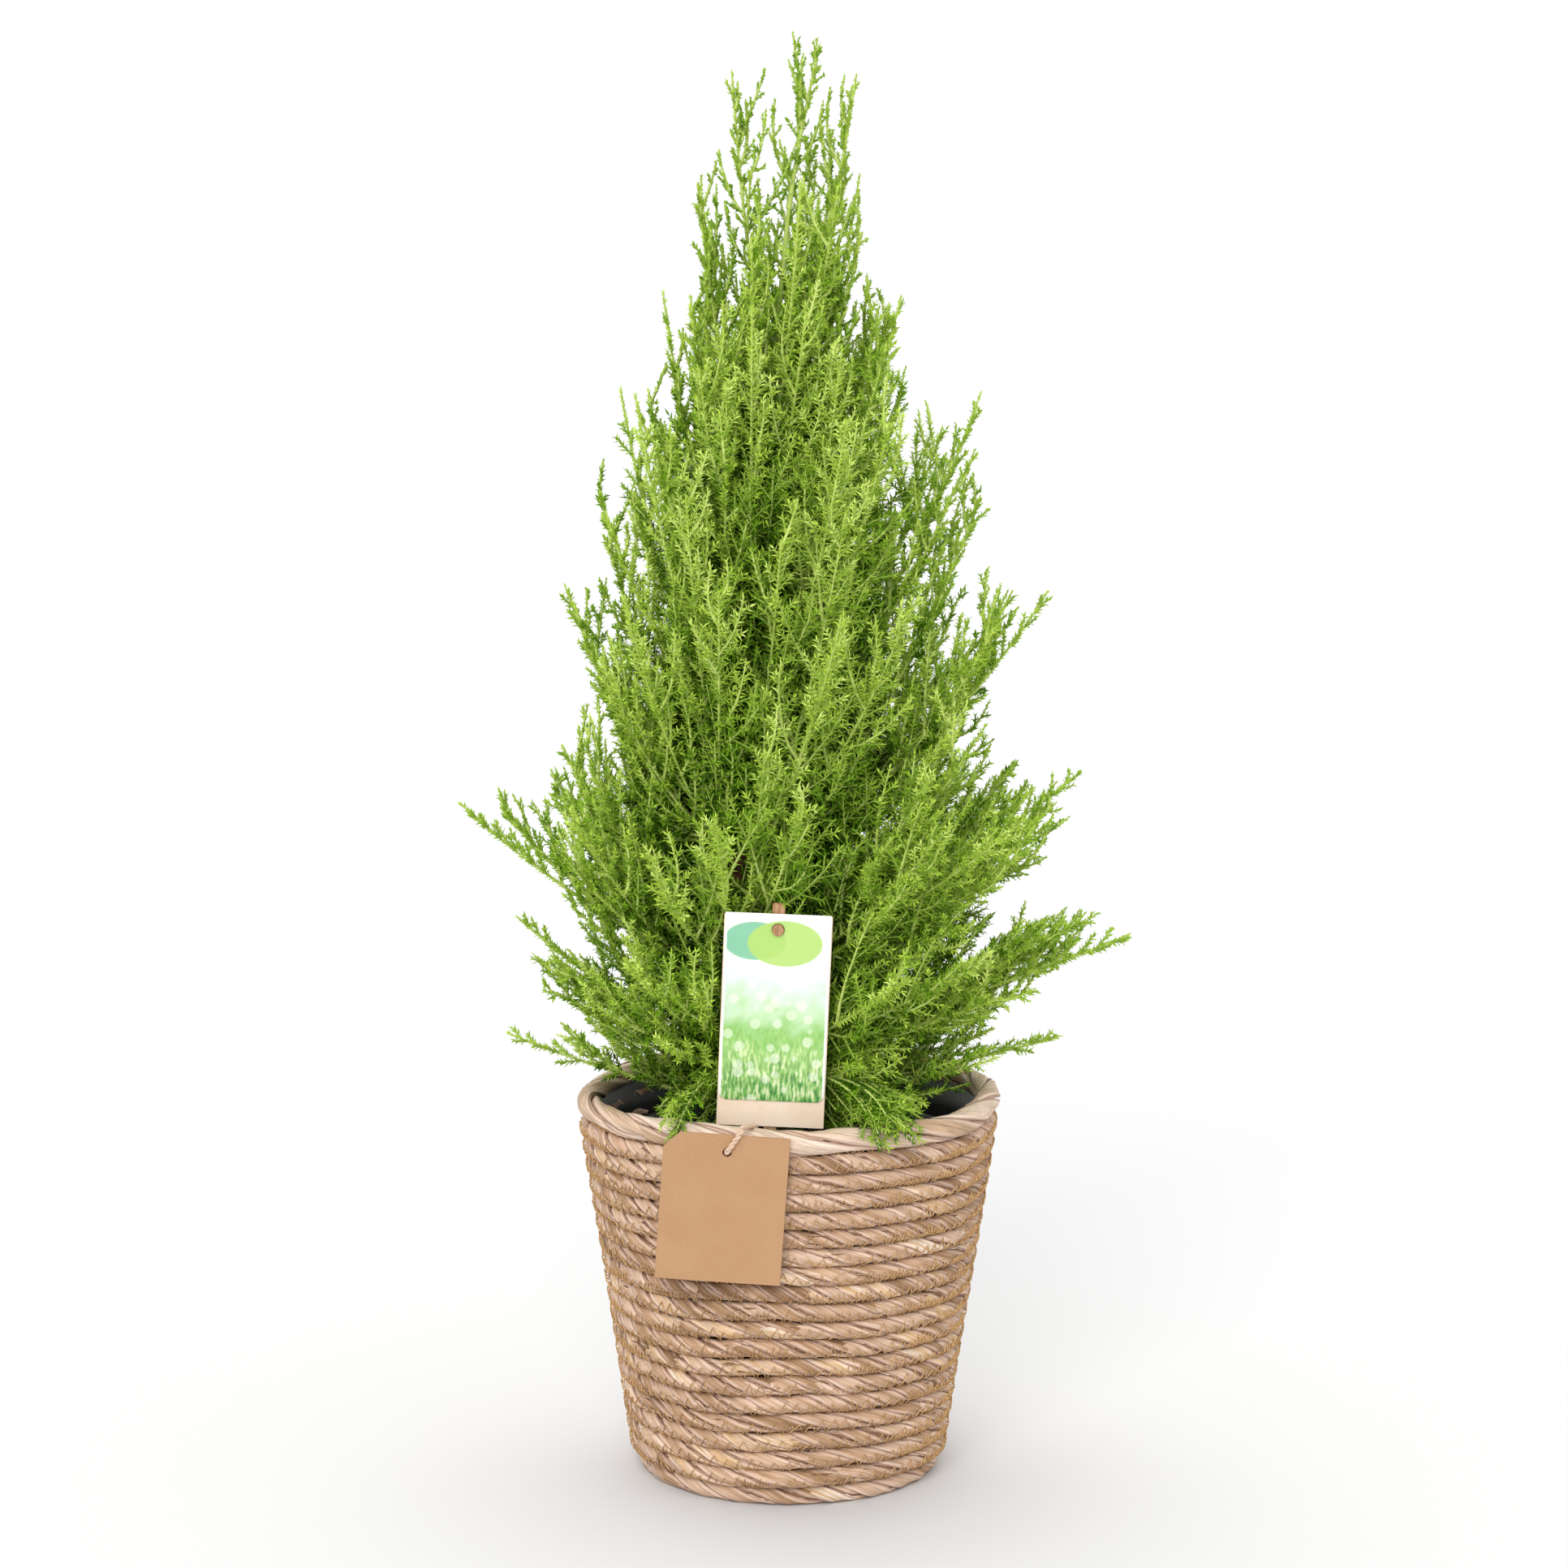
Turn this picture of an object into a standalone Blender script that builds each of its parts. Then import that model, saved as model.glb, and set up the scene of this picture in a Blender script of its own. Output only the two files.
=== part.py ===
"""A lemon cypress in its basket: a young conical conifer in a black nursery pot inside a coiled
banana-leaf basket, with a picture card on a wooden stick and a blank kraft tag on twine.
Metres, +Z up. The origin is the middle of the basket's flat underside; -Y faces the viewer."""
import math
import random

import bmesh
import bpy
from mathutils import Matrix, Vector
from mathutils.bvhtree import BVHTree

# Clearance between pieces that meet
GAP = 0.0003

# Basket: a wall of coiled rope under a thicker rim coil, tapering to a rounded foot
BASKET_HEIGHT = 0.2124
RIM_COIL = 0.0125
RIM_BULGE = 0.0012
RIM_LOW = BASKET_HEIGHT - RIM_COIL
FOOT_RADIUS = 0.0855
WALL_SLOPE = 0.146
RIM_GROOVE = 0.0018
FOOT_STEPS = 5
FOOT_ROUND = 0.013
WALL_THICK = 0.0085
BASKET_SIDES = 32

# Nursery pot of nineteen centimetres, standing on the basket's floor, and the soil in it
POT_TOP_RADIUS = 0.0935
POT_FOOT_RADIUS = 0.0725
POT_HEIGHT = 0.176
POT_WALL = 0.0016
POT_LIP = 0.0032
POT_SIDES = 24
SOIL_BELOW_LIP = 0.012

# Trunk: leans and bows as it rises, with a flare where it meets the soil
TRUNK_BASE_RADIUS = 0.0058
TRUNK_TIP_RADIUS = 0.0011
TRUNK_FLARE = 0.0032
TRUNK_FLARE_HEIGHT = 0.018
TRUNK_LEAN = -0.014
TRUNK_BOW = 0.017
TRUNK_BOW_PEAK = 0.65
TRUNK_TOP = 0.69
TRUNK_RINGS = 14
TRUNK_SIDES = 8

# Crown: tiers of plumes from the top down. Each row is a name, the height where its stems leave the
# trunk, the height of its tips, how far they reach right, left and in depth, the turn of its first
# plume in degrees, the number of plumes, the share of the rise that a plume has made at its elbow,
# the sprays on each, how long those are, and the radius of the dense core inside each plume.
TIERS = (
    ("spire", 0.600, 0.760, 0.037, 0.031, 0.024, 10.0, 2, 0.30, 6, 0.034, 0.0),
    ("top", 0.535, 0.705, 0.046, 0.056, 0.046, 35.0, 3, 0.30, 7, 0.044, 0.0),
    ("upper", 0.465, 0.645, 0.061, 0.069, 0.064, -12.0, 4, 0.30, 7, 0.052, 0.0065),
    ("shoulder", 0.390, 0.590, 0.104, 0.114, 0.090, 5.0, 5, 0.33, 8, 0.062, 0.0085),
    ("middle", 0.330, 0.487, 0.141, 0.128, 0.118, -14.0, 6, 0.38, 8, 0.066, 0.0095),
    ("skirt", 0.268, 0.378, 0.182, 0.188, 0.142, 20.0, 6, 0.48, 8, 0.066, 0.0100),
    ("lower", 0.226, 0.301, 0.187, 0.152, 0.145, -8.0, 6, 0.50, 7, 0.064, 0.0095),
    ("foot", 0.204, 0.241, 0.148, 0.154, 0.138, -1.5, 6, 0.50, 5, 0.054, 0.0075),
)
TIERS_WITH_BOUGHS = ("skirt", "lower")
LEADER_TOP = Vector((0.0165, 0.002, 0.776))
LEADER_SPRAY = 0.030
LEADER_SPRAYS = 5
TURN_JITTER = 5.0
HEIGHT_JITTER = 0.010
REACH_JITTER = 0.05
ELBOW_REACH = 0.62
# The two foot plumes at the front hang over the rim
DROOP_TIP_HEIGHT = 0.214
DROOP_REACH = 0.128
RIM_CLEAR = 0.010

# Boughs, and the share of a plume's way that its bough takes
BOUGH_ROOT_RADIUS = 0.0029
BOUGH_SHARE = 0.34
BOUGH_SIDES = 5
BOUGH_RINGS = 4

# Foliage: sprays along each stem, each a slim core with needles standing out of it
STEM_ROOT_RADIUS = 0.0023
STEM_TIP_RADIUS = 0.0013
STEM_RINGS = 5
FIRST_SPRAY = 0.16
SPRAY_ANGLE_LOW = 44.0
SPRAY_ANGLE_HIGH = 26.0
GOLDEN_TURN = 137.508
SPRAY_RADIUS = 0.0032
SPRAY_WAIST = 0.42
END_SPRAY_SHARE = 0.75
NEEDLE_SHARE = 0.27
NEEDLE_ANGLE = 42.0
SPACE_MARGIN = 0.0006
RIM_INNER_EDGE = 0.101
RIM_OUTER_EDGE = 0.121
RIM_KEEP_OUT = 0.004
CORE_SIDES = 5
CORE_ROWS = ((0.16, 0.60), (0.40, 1.00), (0.66, 0.92), (0.90, 0.55))
CORE_SHRINKS = (1.0, 0.85, 0.7, 0.55, 0.42, 0.3)
CORE_MARGIN = 0.0018
ROOT_SUNK = 0.0060
END_SUNK = 0.009
SHORTEST_SPRAY = 0.014
DEALINGS = 5
TRIANGLE = 3

# Picture card on a kraft backing, held by a wooden stick with a peg
CARD_WIDTH = 0.0560
CARD_HEIGHT = 0.1020
CARD_CORNER = 0.0045
CARD_THICK = 0.0006
BACKING_WIDTH = 0.0560
BACKING_HEIGHT = 0.1165
BACKING_THICK = 0.0008
CARD_TOP = Vector((-0.0052, -0.0870, 0.3237))
CARD_TILT = math.radians(2.4)
CARD_LEAN = math.radians(4.0)
STICK_WIDTH = 0.0066
STICK_THICK = 0.0026
STICK_ABOVE = 0.0052
STICK_FOOT = 0.190
POCKET_HEIGHT = 0.120
PEG_BELOW_TOP = 0.0086
PEG_RADIUS = 0.0031
PEG_OUT = 0.0022
PEG_SIDES = 12
KEEP_OUT_SIDE = 0.009
KEEP_OUT_ABOVE = 0.010
KEEP_OUT_BEHIND = 0.024

# Kraft tag on a loop of twine over the rim
TAG_WIDTH = 0.0660
TAG_HEIGHT = 0.0800
TAG_THICK = 0.0008
TAG_CUT_CORNER = 0.0085
TAG_MIDDLE = Vector((-0.0348, -0.1173, 0.1725))
TAG_TILT = math.radians(4.0)
TAG_LEAN = math.radians(2.5)
TAG_HOLE = Vector((0.0005, 0.0305))
TAG_HOLE_RADIUS = 0.0024
TWINE_RADIUS = 0.0012


def clear_scene():
    for obj in list(bpy.data.objects):
        bpy.data.objects.remove(obj)


def finish_material(name, colour, roughness, metallic=0.0):
    material = bpy.data.materials.new(name)
    material.use_nodes = True
    shader = material.node_tree.nodes["Principled BSDF"]
    shader.inputs["Base Color"].default_value = (*colour, 1.0)
    shader.inputs["Roughness"].default_value = roughness
    shader.inputs["Metallic"].default_value = metallic
    return material


def add_object(name, mesh, material, smooth_angle=None):
    obj = bpy.data.objects.new(name, mesh)
    bpy.context.scene.collection.objects.link(obj)
    mesh.materials.append(material)
    if smooth_angle is not None:
        mesh.shade_smooth()
        mesh.set_sharp_from_angle(angle=math.radians(smooth_angle))
    return obj


def mesh_from(name, vertices, faces):
    mesh = bpy.data.meshes.new(name)
    mesh.from_pydata([tuple(v) for v in vertices], [], faces)
    mesh.update()
    return mesh


def turned(name, profile, sides):
    """A closed profile of (radius, height) turned about Z. A point at radius 0 is one pole."""
    vertices = []
    rows = []
    for radius, height in profile:
        if radius == 0.0:
            rows.append([len(vertices)] * sides)
            vertices.append(Vector((0.0, 0.0, height)))
            continue
        first = len(vertices)
        rows.append([first + k for k in range(sides)])
        for k in range(sides):
            turn = 2.0 * math.pi * k / sides
            vertices.append(Vector((radius * math.cos(turn), radius * math.sin(turn), height)))
    faces = []
    for lower, upper in zip(rows, rows[1:]):
        for k in range(sides):
            after = (k + 1) % sides
            corners = (lower[k], lower[after], upper[after], upper[k])
            face = tuple(dict.fromkeys(corners))
            if len(face) >= TRIANGLE:
                faces.append(face)
    return mesh_from(name, vertices, faces)


def wall_radius(height):
    """Outer radius of the coils at their crests."""
    radius = FOOT_RADIUS + WALL_SLOPE * height
    if height < FOOT_ROUND:
        share = 1.0 - height / FOOT_ROUND
        radius -= FOOT_ROUND * (1.0 - math.sqrt(1.0 - share * share))
    return radius


def build_basket(material):
    foot = [(0.0, 0.0)]
    heights = [FOOT_ROUND * (1.0 - math.cos(0.5 * math.pi * k / FOOT_STEPS))
               for k in range(FOOT_STEPS + 1)]
    wall = [(wall_radius(height), height) for height in heights]
    rim_crest = wall_radius(RIM_LOW) + RIM_BULGE
    wall += [(wall_radius(RIM_LOW) - RIM_GROOVE, RIM_LOW)]
    middle = RIM_LOW + RIM_COIL / 2.0
    half = RIM_COIL / 2.0
    rim = [(rim_crest - half + half * math.cos(turn), middle + half * math.sin(turn))
           for turn in (-0.5, 0.0, 0.5, 1.0, math.pi / 2.0, 2.2, 2.7, math.pi)]
    inner = [(wall_radius(RIM_LOW) - WALL_THICK, RIM_LOW),
             (wall_radius(WALL_THICK) - WALL_THICK, WALL_THICK + 0.004),
             (wall_radius(WALL_THICK) - WALL_THICK - 0.003, WALL_THICK),
             (0.0, WALL_THICK)]
    mesh = turned("basket", foot + wall + rim + inner, BASKET_SIDES)
    return add_object("basket", mesh, material, 50.0)


def pot_radius(height):
    """Outer radius of the nursery pot at a height above the ground."""
    share = (height - WALL_THICK - GAP) / POT_HEIGHT
    return POT_FOOT_RADIUS + (POT_TOP_RADIUS - POT_FOOT_RADIUS) * share


POT_BASE = WALL_THICK + GAP
POT_LIP_HEIGHT = POT_BASE + POT_HEIGHT
SOIL_TOP = POT_LIP_HEIGHT - SOIL_BELOW_LIP


def build_nursery_pot(material):
    lip_low = POT_LIP_HEIGHT - 0.012
    profile = [
        (0.0, POT_BASE),
        (POT_FOOT_RADIUS, POT_BASE),
        (pot_radius(lip_low), lip_low),
        (pot_radius(lip_low) + POT_LIP, lip_low),
        (POT_TOP_RADIUS + POT_LIP, POT_LIP_HEIGHT),
        (POT_TOP_RADIUS - POT_WALL, POT_LIP_HEIGHT),
        (POT_FOOT_RADIUS - POT_WALL, POT_BASE + POT_WALL),
        (0.0, POT_BASE + POT_WALL),
    ]
    return add_object("nursery_pot", turned("nursery_pot", profile, POT_SIDES), material, 40.0)


def build_soil(material, stick_place):
    """The root ball's soil, with a pocket that the stick stands in."""
    base = POT_BASE + POT_WALL + GAP
    clear = POT_WALL + 2.0 * GAP
    profile = [
        (0.0, base),
        (pot_radius(base) - clear, base),
        (pot_radius(SOIL_TOP) - clear, SOIL_TOP - 0.003),
        (pot_radius(SOIL_TOP) - clear - 0.012, SOIL_TOP),
        (0.0, SOIL_TOP),
    ]
    soil = add_object("soil", turned("soil", profile, POT_SIDES), material, 40.0)
    width = STICK_WIDTH + 2.0 * GAP
    thick = STICK_THICK + 2.0 * GAP
    cutter = add_object("stick_pocket", box_mesh("stick_pocket", width, thick, POCKET_HEIGHT),
                        material)
    below = (STICK_FOOT + STICK_ABOVE) / 2.0 + GAP - POCKET_HEIGHT / 2.0
    cutter.matrix_world = stick_place @ Matrix.Translation((0.0, 0.0, -below))
    cut_with(soil, cutter)
    return soil


def box_mesh(name, width, depth, height):
    """A box with its middle at the origin."""
    mesh = bpy.data.meshes.new(name)
    bm = bmesh.new()
    bmesh.ops.create_cube(bm, size=1.0)
    bmesh.ops.scale(bm, vec=(width, depth, height), verts=bm.verts)
    bm.to_mesh(mesh)
    bm.free()
    return mesh


def cut_with(obj, cutter):
    cutter.hide_render = True
    cutter.display_type = "WIRE"
    modifier = obj.modifiers.new("cut_" + cutter.name, "BOOLEAN")
    modifier.operation = "DIFFERENCE"
    modifier.solver = "EXACT"
    modifier.object = cutter


def trunk_curve(height):
    """The trunk's middle and radius at a height: it leans at the foot and bows to the left."""
    share = (height - SOIL_TOP) / (TRUNK_TOP - SOIL_TOP)
    bow = TRUNK_BOW * math.sin(math.pi * share ** TRUNK_BOW_PEAK)
    radius = TRUNK_BASE_RADIUS + (TRUNK_TIP_RADIUS - TRUNK_BASE_RADIUS) * share ** 0.8
    flare = max(0.0, 1.0 - (height - SOIL_TOP) / TRUNK_FLARE_HEIGHT)
    middle = Vector((TRUNK_LEAN * (1.0 - share) - bow, 0.0, height))
    return middle, radius + TRUNK_FLARE * flare * flare


def trunk_rings():
    """Middle and radius of each ring of the trunk, from the cut at the soil to the top."""
    foot = SOIL_TOP + GAP
    heights = [foot, foot + TRUNK_FLARE_HEIGHT / 3.0, foot + TRUNK_FLARE_HEIGHT]
    rest = TRUNK_RINGS - len(heights)
    heights += [heights[-1] + (TRUNK_TOP - heights[-1]) * k / rest for k in range(1, rest + 1)]
    return [trunk_curve(height) for height in heights]


TRUNK = trunk_rings()


def trunk_at(height):
    """Middle, direction and radius of the trunk at a height, between its rings."""
    height = max(TRUNK[0][0].z, min(TRUNK_TOP, height))
    for (low, low_radius), (high, high_radius) in zip(TRUNK, TRUNK[1:]):
        if height <= high.z:
            break
    share = (height - low.z) / (high.z - low.z)
    radius = low_radius + (high_radius - low_radius) * share
    return low.lerp(high, share), (high - low).normalized(), radius


def limb_frames(points, start_normal=None):
    """A tangent and two cross directions at each point, carried along without twist."""
    tangents = []
    for k in range(len(points)):
        before = points[max(0, k - 1)]
        after = points[min(len(points) - 1, k + 1)]
        tangents.append((after - before).normalized())
    if start_normal is not None:
        tangents[0] = start_normal.normalized()
    cross = tangents[0].cross(tangents[-1])
    if cross.length < 0.05:
        cross = tangents[0].orthogonal()
    frames = []
    for tangent in tangents:
        cross = (cross - tangent * cross.dot(tangent)).normalized()
        frames.append((tangent, cross, tangent.cross(cross)))
    return frames


def limb_mesh(name, points, radii, sides, start_normal=None):
    """A tapering limb with flat ends through the points. Its first end faces start_normal."""
    vertices = []
    frames = limb_frames(points, start_normal)
    for point, radius, (_, across, up) in zip(points, radii, frames):
        for k in range(sides):
            turn = 2.0 * math.pi * k / sides
            vertices.append(point + radius * (math.cos(turn) * across + math.sin(turn) * up))
    faces = [tuple(reversed(range(sides)))]
    for ring in range(len(points) - 1):
        first = ring * sides
        for k in range(sides):
            after = (k + 1) % sides
            faces.append((first + k, first + after, first + sides + after, first + sides + k))
    last = (len(points) - 1) * sides
    faces.append(tuple(range(last, last + sides)))
    return mesh_from(name, vertices, faces)


def build_trunk(material):
    points = [middle for middle, _ in TRUNK]
    radii = [radius for _, radius in TRUNK]
    mesh = limb_mesh("trunk", points, radii, TRUNK_SIDES, Vector((0.0, 0.0, 1.0)))
    return add_object("trunk", mesh, material, 60.0)


class Plume:
    """One branch of the crown: the way of its stem from the trunk to its tip."""

    def __init__(self, name, start, facing, elbow, tip, sprays, spray, core, bough, seed):
        self.name = name
        self.start = start
        self.facing = facing
        self.elbow = elbow
        self.tip = tip
        self.sprays = sprays
        self.spray = spray
        self.core = core
        self.bough = bough
        self.seed = seed
        self.samples = [self.at(k / 24.0) for k in range(25)]

    def deal(self, dealing):
        """Takes a new seed for another try at the sprays, and from the third on fewer sprays."""
        self.seed += 1000 * min(dealing, 1)
        self.sprays -= 1 if dealing > 1 else 0

    def at(self, share):
        rest = 1.0 - share
        return (rest * rest * self.start + 2.0 * rest * share * self.elbow
                + share * share * self.tip)

    def along(self, share):
        rest = 1.0 - share
        return (rest * (self.elbow - self.start) + share * (self.tip - self.elbow)).normalized()

    @property
    def foliage_from(self):
        return BOUGH_SHARE if self.bough else 0.0


def tier_reach(turn, right, left, depth):
    """How far a tier reaches in one direction, from its reach right, left and in depth."""
    sideways = right if math.cos(turn) > 0.0 else left
    return sideways * math.cos(turn) ** 2 + depth * math.sin(turn) ** 2


def branch_start(height, outward):
    """Where a limb leaves the trunk, clear of the bark, and the way its first end faces."""
    middle, up, radius = trunk_at(height)
    facing = (outward - up * outward.dot(up)).normalized()
    facet = 2.0 * math.pi / TRUNK_SIDES
    off_corner = (math.atan2(outward.y, outward.x) + facet / 2.0) % facet - facet / 2.0
    return middle + facing * (radius * math.cos(off_corner) + GAP), facing


def crown_plumes():
    plumes = []
    for tier, row in enumerate(TIERS):
        name, low, high, right, left, depth, turn, count, rise, sprays, spray, core = row
        for k in range(count):
            seed = 100 * (tier + 1) + k
            rng = random.Random(seed)
            angle = turn + 360.0 * k / count
            loose = abs(math.sin(math.radians(angle)))
            angle = math.radians(angle + loose * rng.uniform(-TURN_JITTER, TURN_JITTER))
            reach = tier_reach(angle, right, left, depth)
            reach *= 1.0 + loose * rng.uniform(-REACH_JITTER, REACH_JITTER)
            height = high + loose * rng.uniform(-HEIGHT_JITTER, HEIGHT_JITTER)
            outward = Vector((math.cos(angle), math.sin(angle), 0.0))
            low_here = low + rng.uniform(-HEIGHT_JITTER, HEIGHT_JITTER) / 2.0
            start, facing = branch_start(low_here, outward)
            droops = name == "foot" and abs(outward.x) < 0.7 and outward.y < 0.0
            if droops:
                reach, height = DROOP_REACH, DROOP_TIP_HEIGHT
            tip = Vector((reach * outward.x, reach * outward.y, height))
            elbow = start.lerp(tip, ELBOW_REACH)
            elbow.z = start.z + rise * (tip.z - start.z)
            if droops:
                elbow.z = BASKET_HEIGHT + 2.6 * RIM_CLEAR
            plumes.append(Plume(f"{name}_{k + 1}", start, facing, elbow, tip, sprays, spray, core,
                                name in TIERS_WITH_BOUGHS, seed))
    middle, up, _ = trunk_at(TRUNK_TOP)
    start = middle + up * GAP
    elbow = start.lerp(LEADER_TOP, 0.5) + Vector((-0.002, 0.0, 0.0))
    plumes.append(Plume("leader", start, up, elbow, LEADER_TOP, LEADER_SPRAYS, LEADER_SPRAY,
                        0.0, False, 99))
    return plumes


def build_bough(plume, material):
    shares = [BOUGH_SHARE * k / (BOUGH_RINGS - 1) for k in range(BOUGH_RINGS)]
    points = [plume.at(share) for share in shares]
    radii = [BOUGH_ROOT_RADIUS + (STEM_ROOT_RADIUS - BOUGH_ROOT_RADIUS) * share / BOUGH_SHARE
             for share in shares]
    mesh = limb_mesh(plume.name, points, radii, BOUGH_SIDES, plume.facing)
    return add_object("bough_" + plume.name, mesh, material, 60.0)


def spray_shape(root, along, length, turn, needles=1.0):
    """Corners and faces of one spray: a slim three-sided core, pointed at its sunk root and at its
    tip, with a needle standing out of every facet."""
    across = Matrix.Rotation(turn, 3, along) @ along.orthogonal().normalized()
    up = along.cross(across)
    vertices = [root, root + along * length]
    for k in range(TRIANGLE):
        angle = math.radians(120.0 * k)
        vertices.append(root + along * (length * SPRAY_WAIST)
                        + SPRAY_RADIUS * (math.cos(angle) * across + math.sin(angle) * up))
    faces = []
    needle = NEEDLE_SHARE * length * needles
    for k in range(TRIANGLE):
        here, after = 2 + k, 2 + (k + 1) % TRIANGLE
        add_needle(vertices, faces, (0, after, here), root, along, needle)
        add_needle(vertices, faces, (here, after, 1), root, along, 0.8 * needle)
    return vertices, faces


def add_needle(vertices, faces, corners, root, along, length):
    """A needle in place of a facet of a spray's core: three faces up to a point outside it."""
    first, second, third = (vertices[corner] for corner in corners)
    middle = (first + second + third) / TRIANGLE
    outward = (middle - root - along * (middle - root).dot(along)).normalized()
    slant = math.radians(NEEDLE_ANGLE)
    apex = len(vertices)
    vertices.append(middle + length * (math.cos(slant) * along + math.sin(slant) * outward))
    faces += [(corners[k], corners[(k + 1) % TRIANGLE], apex) for k in range(TRIANGLE)]


def segment_gap(point, samples):
    return min((point - sample).length for sample in samples)


def in_basket(point):
    """Whether a point is too near the rim or its slopes, or in the pot."""
    radius = math.hypot(point.x, point.y)
    beside = max(0.0, RIM_INNER_EDGE - radius, radius - RIM_OUTER_EDGE)
    if point.z < BASKET_HEIGHT + RIM_KEEP_OUT - beside:
        return True
    return radius < RIM_INNER_EDGE and point.z < POT_LIP_HEIGHT + RIM_KEEP_OUT


def before_card(point):
    """Whether a point is in or before the card and its stick."""
    beside = abs(point.x - CARD_TOP.x) < CARD_WIDTH / 2.0 + KEEP_OUT_SIDE
    below = point.z < CARD_TOP.z + KEEP_OUT_ABOVE
    return beside and below and point.y < CARD_TOP.y + KEEP_OUT_BEHIND


def keeps_to_space(points, plume, others, limbs, margin=SPACE_MARGIN):
    for point in points:
        if in_basket(point) or before_card(point):
            return False
        own = segment_gap(point, plume.samples)
        if any(segment_gap(point, other.samples) < own + margin for other in others):
            return False
        trunk, _, thick = trunk_at(point.z)
        if math.hypot(point.x - trunk.x, point.y - trunk.y) < thick + 0.002:
            return False
        if any((point - centre).length < radius for centre, radius in limbs):
            return False
    return True


def end_share(plume):
    """The share of the plume's way at which its stem gives over to the end spray."""
    length = plume.spray * END_SPRAY_SHARE
    share = 1.0
    while (plume.at(share) - plume.tip).length < length:
        share -= 0.005
    return share


def core_shape(plume, others, limbs):
    """Corners and faces of the dense core along a plume's stem, inside the plume's own space. A
    plume with no core, or no room for one, has none."""
    if plume.core == 0.0:
        return None
    begin = plume.foliage_from
    last = end_share(plume)
    vertices = [plume.at(begin + 0.03 * (last - begin))]
    for row, (part_way, swell) in enumerate(CORE_ROWS):
        share = begin + part_way * (last - begin)
        along = plume.along(share)
        across = along.orthogonal().normalized()
        for k in range(CORE_SIDES):
            turn = 2.0 * math.pi * (k + 0.5 * (row % 2)) / CORE_SIDES
            side = Matrix.Rotation(turn, 3, along) @ across
            for shrink in CORE_SHRINKS:
                radius = plume.core * swell * shrink
                point = plume.at(share) + radius * side
                if keeps_to_space([point], plume, others, limbs, CORE_MARGIN):
                    break
            else:
                return None
            vertices.append(point)
    vertices.append(plume.at(last))
    faces = []
    for k in range(CORE_SIDES):
        after = (k + 1) % CORE_SIDES
        faces.append((0, 1 + after, 1 + k))
        for row in range(len(CORE_ROWS) - 1):
            low = 1 + row * CORE_SIDES
            high = low + CORE_SIDES
            if row % 2 == 0:
                faces += [(low + k, low + after, high + k), (low + after, high + after, high + k)]
            else:
                faces += [(low + k, low + after, high + after), (low + k, high + after, high + k)]
        top = 1 + (len(CORE_ROWS) - 1) * CORE_SIDES
        faces.append((top + k, top + after, len(vertices) - 1))
    return vertices, faces


def depth_in_core(tree, point, heading):
    """How far from a point on the stem a spray may start and still be sunk in the core."""
    if tree is None:
        return 0.0
    hit, normal, _, distance = tree.ray_cast(point, heading)
    if hit is None or normal.dot(heading) < 0.0:
        return 0.0
    return max(0.0, distance - ROOT_SUNK)


def sprays_of(plume, others, limbs, tree):
    """Corners and faces of each spray that keeps to the plume's own space, and the end spray."""
    rng = random.Random(plume.seed)
    found = []
    last = end_share(plume)
    begin = plume.foliage_from + FIRST_SPRAY * (last - plume.foliage_from)
    for k in range(plume.sprays):
        share = begin + (last - begin) * k / (plume.sprays - 0.5)
        slant = SPRAY_ANGLE_LOW + (SPRAY_ANGLE_HIGH - SPRAY_ANGLE_LOW) * share
        slant = math.radians(slant + rng.uniform(-4.0, 4.0))
        first_turn = GOLDEN_TURN * k + rng.uniform(-12.0, 12.0)
        length = plume.spray * (1.0 - 0.35 * share) * rng.uniform(0.88, 1.15)
        trial = free_spray(plume, others, limbs, share, slant, first_turn, length, tree)
        if trial is not None:
            found.append(trial)
    found.append(end_spray(plume, others, limbs, last))
    return found


def end_spray(plume, others, limbs, last):
    """The spray that carries the stem on to the plume's tip, with needles that clear the rest."""
    heading = (plume.tip - plume.at(last)).normalized()
    root = plume.at(last) - heading * END_SUNK
    for needles in (1.0, 0.7, 0.5, 0.3):
        for turn in (0.0, 30.0, 60.0, 90.0):
            vertices, faces = spray_shape(root, heading, (plume.tip - root).length,
                                          math.radians(turn), needles)
            if keeps_to_space(vertices[1:], plume, others, limbs):
                return vertices, faces
    return vertices, faces


def free_spray(plume, others, limbs, share, slant, first_turn, length, tree):
    """The first of a spray's turns and shorter lengths that keeps to the plume's own space."""
    along = plume.along(share)
    for shorten in (1.0, 0.8, 0.62):
        for swing in (0.0, 40.0, -40.0, 80.0, -80.0, 130.0, -130.0, 180.0):
            turn = Matrix.Rotation(math.radians(first_turn + swing), 3, along)
            across = turn @ along.orthogonal().normalized()
            heading = math.cos(slant) * along + math.sin(slant) * across
            sunk = depth_in_core(tree, plume.at(share), heading)
            if length * shorten - sunk < SHORTEST_SPRAY:
                continue
            root = plume.at(share) + sunk * heading
            vertices, faces = spray_shape(root, heading, length * shorten - sunk, first_turn)
            if keeps_to_space(vertices[1:], plume, others, limbs):
                return vertices, faces
    return None


def build_mass(plume, others, limbs, material):
    """One mass of foliage: a stem and its sprays, joined into one solid. Sprays that leave an edge
    open or pinched are dealt again, and the last dealings have fewer of them."""
    for dealing in range(DEALINGS):
        plume.deal(dealing)
        for solver in ("EXACT", "MANIFOLD"):
            mass = join_mass(plume, others, limbs, material, solver)
            if is_closed(mass.data):
                return mass
            bpy.data.objects.remove(mass)
    raise ValueError("no dealing of sprays closes " + plume.name)


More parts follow.
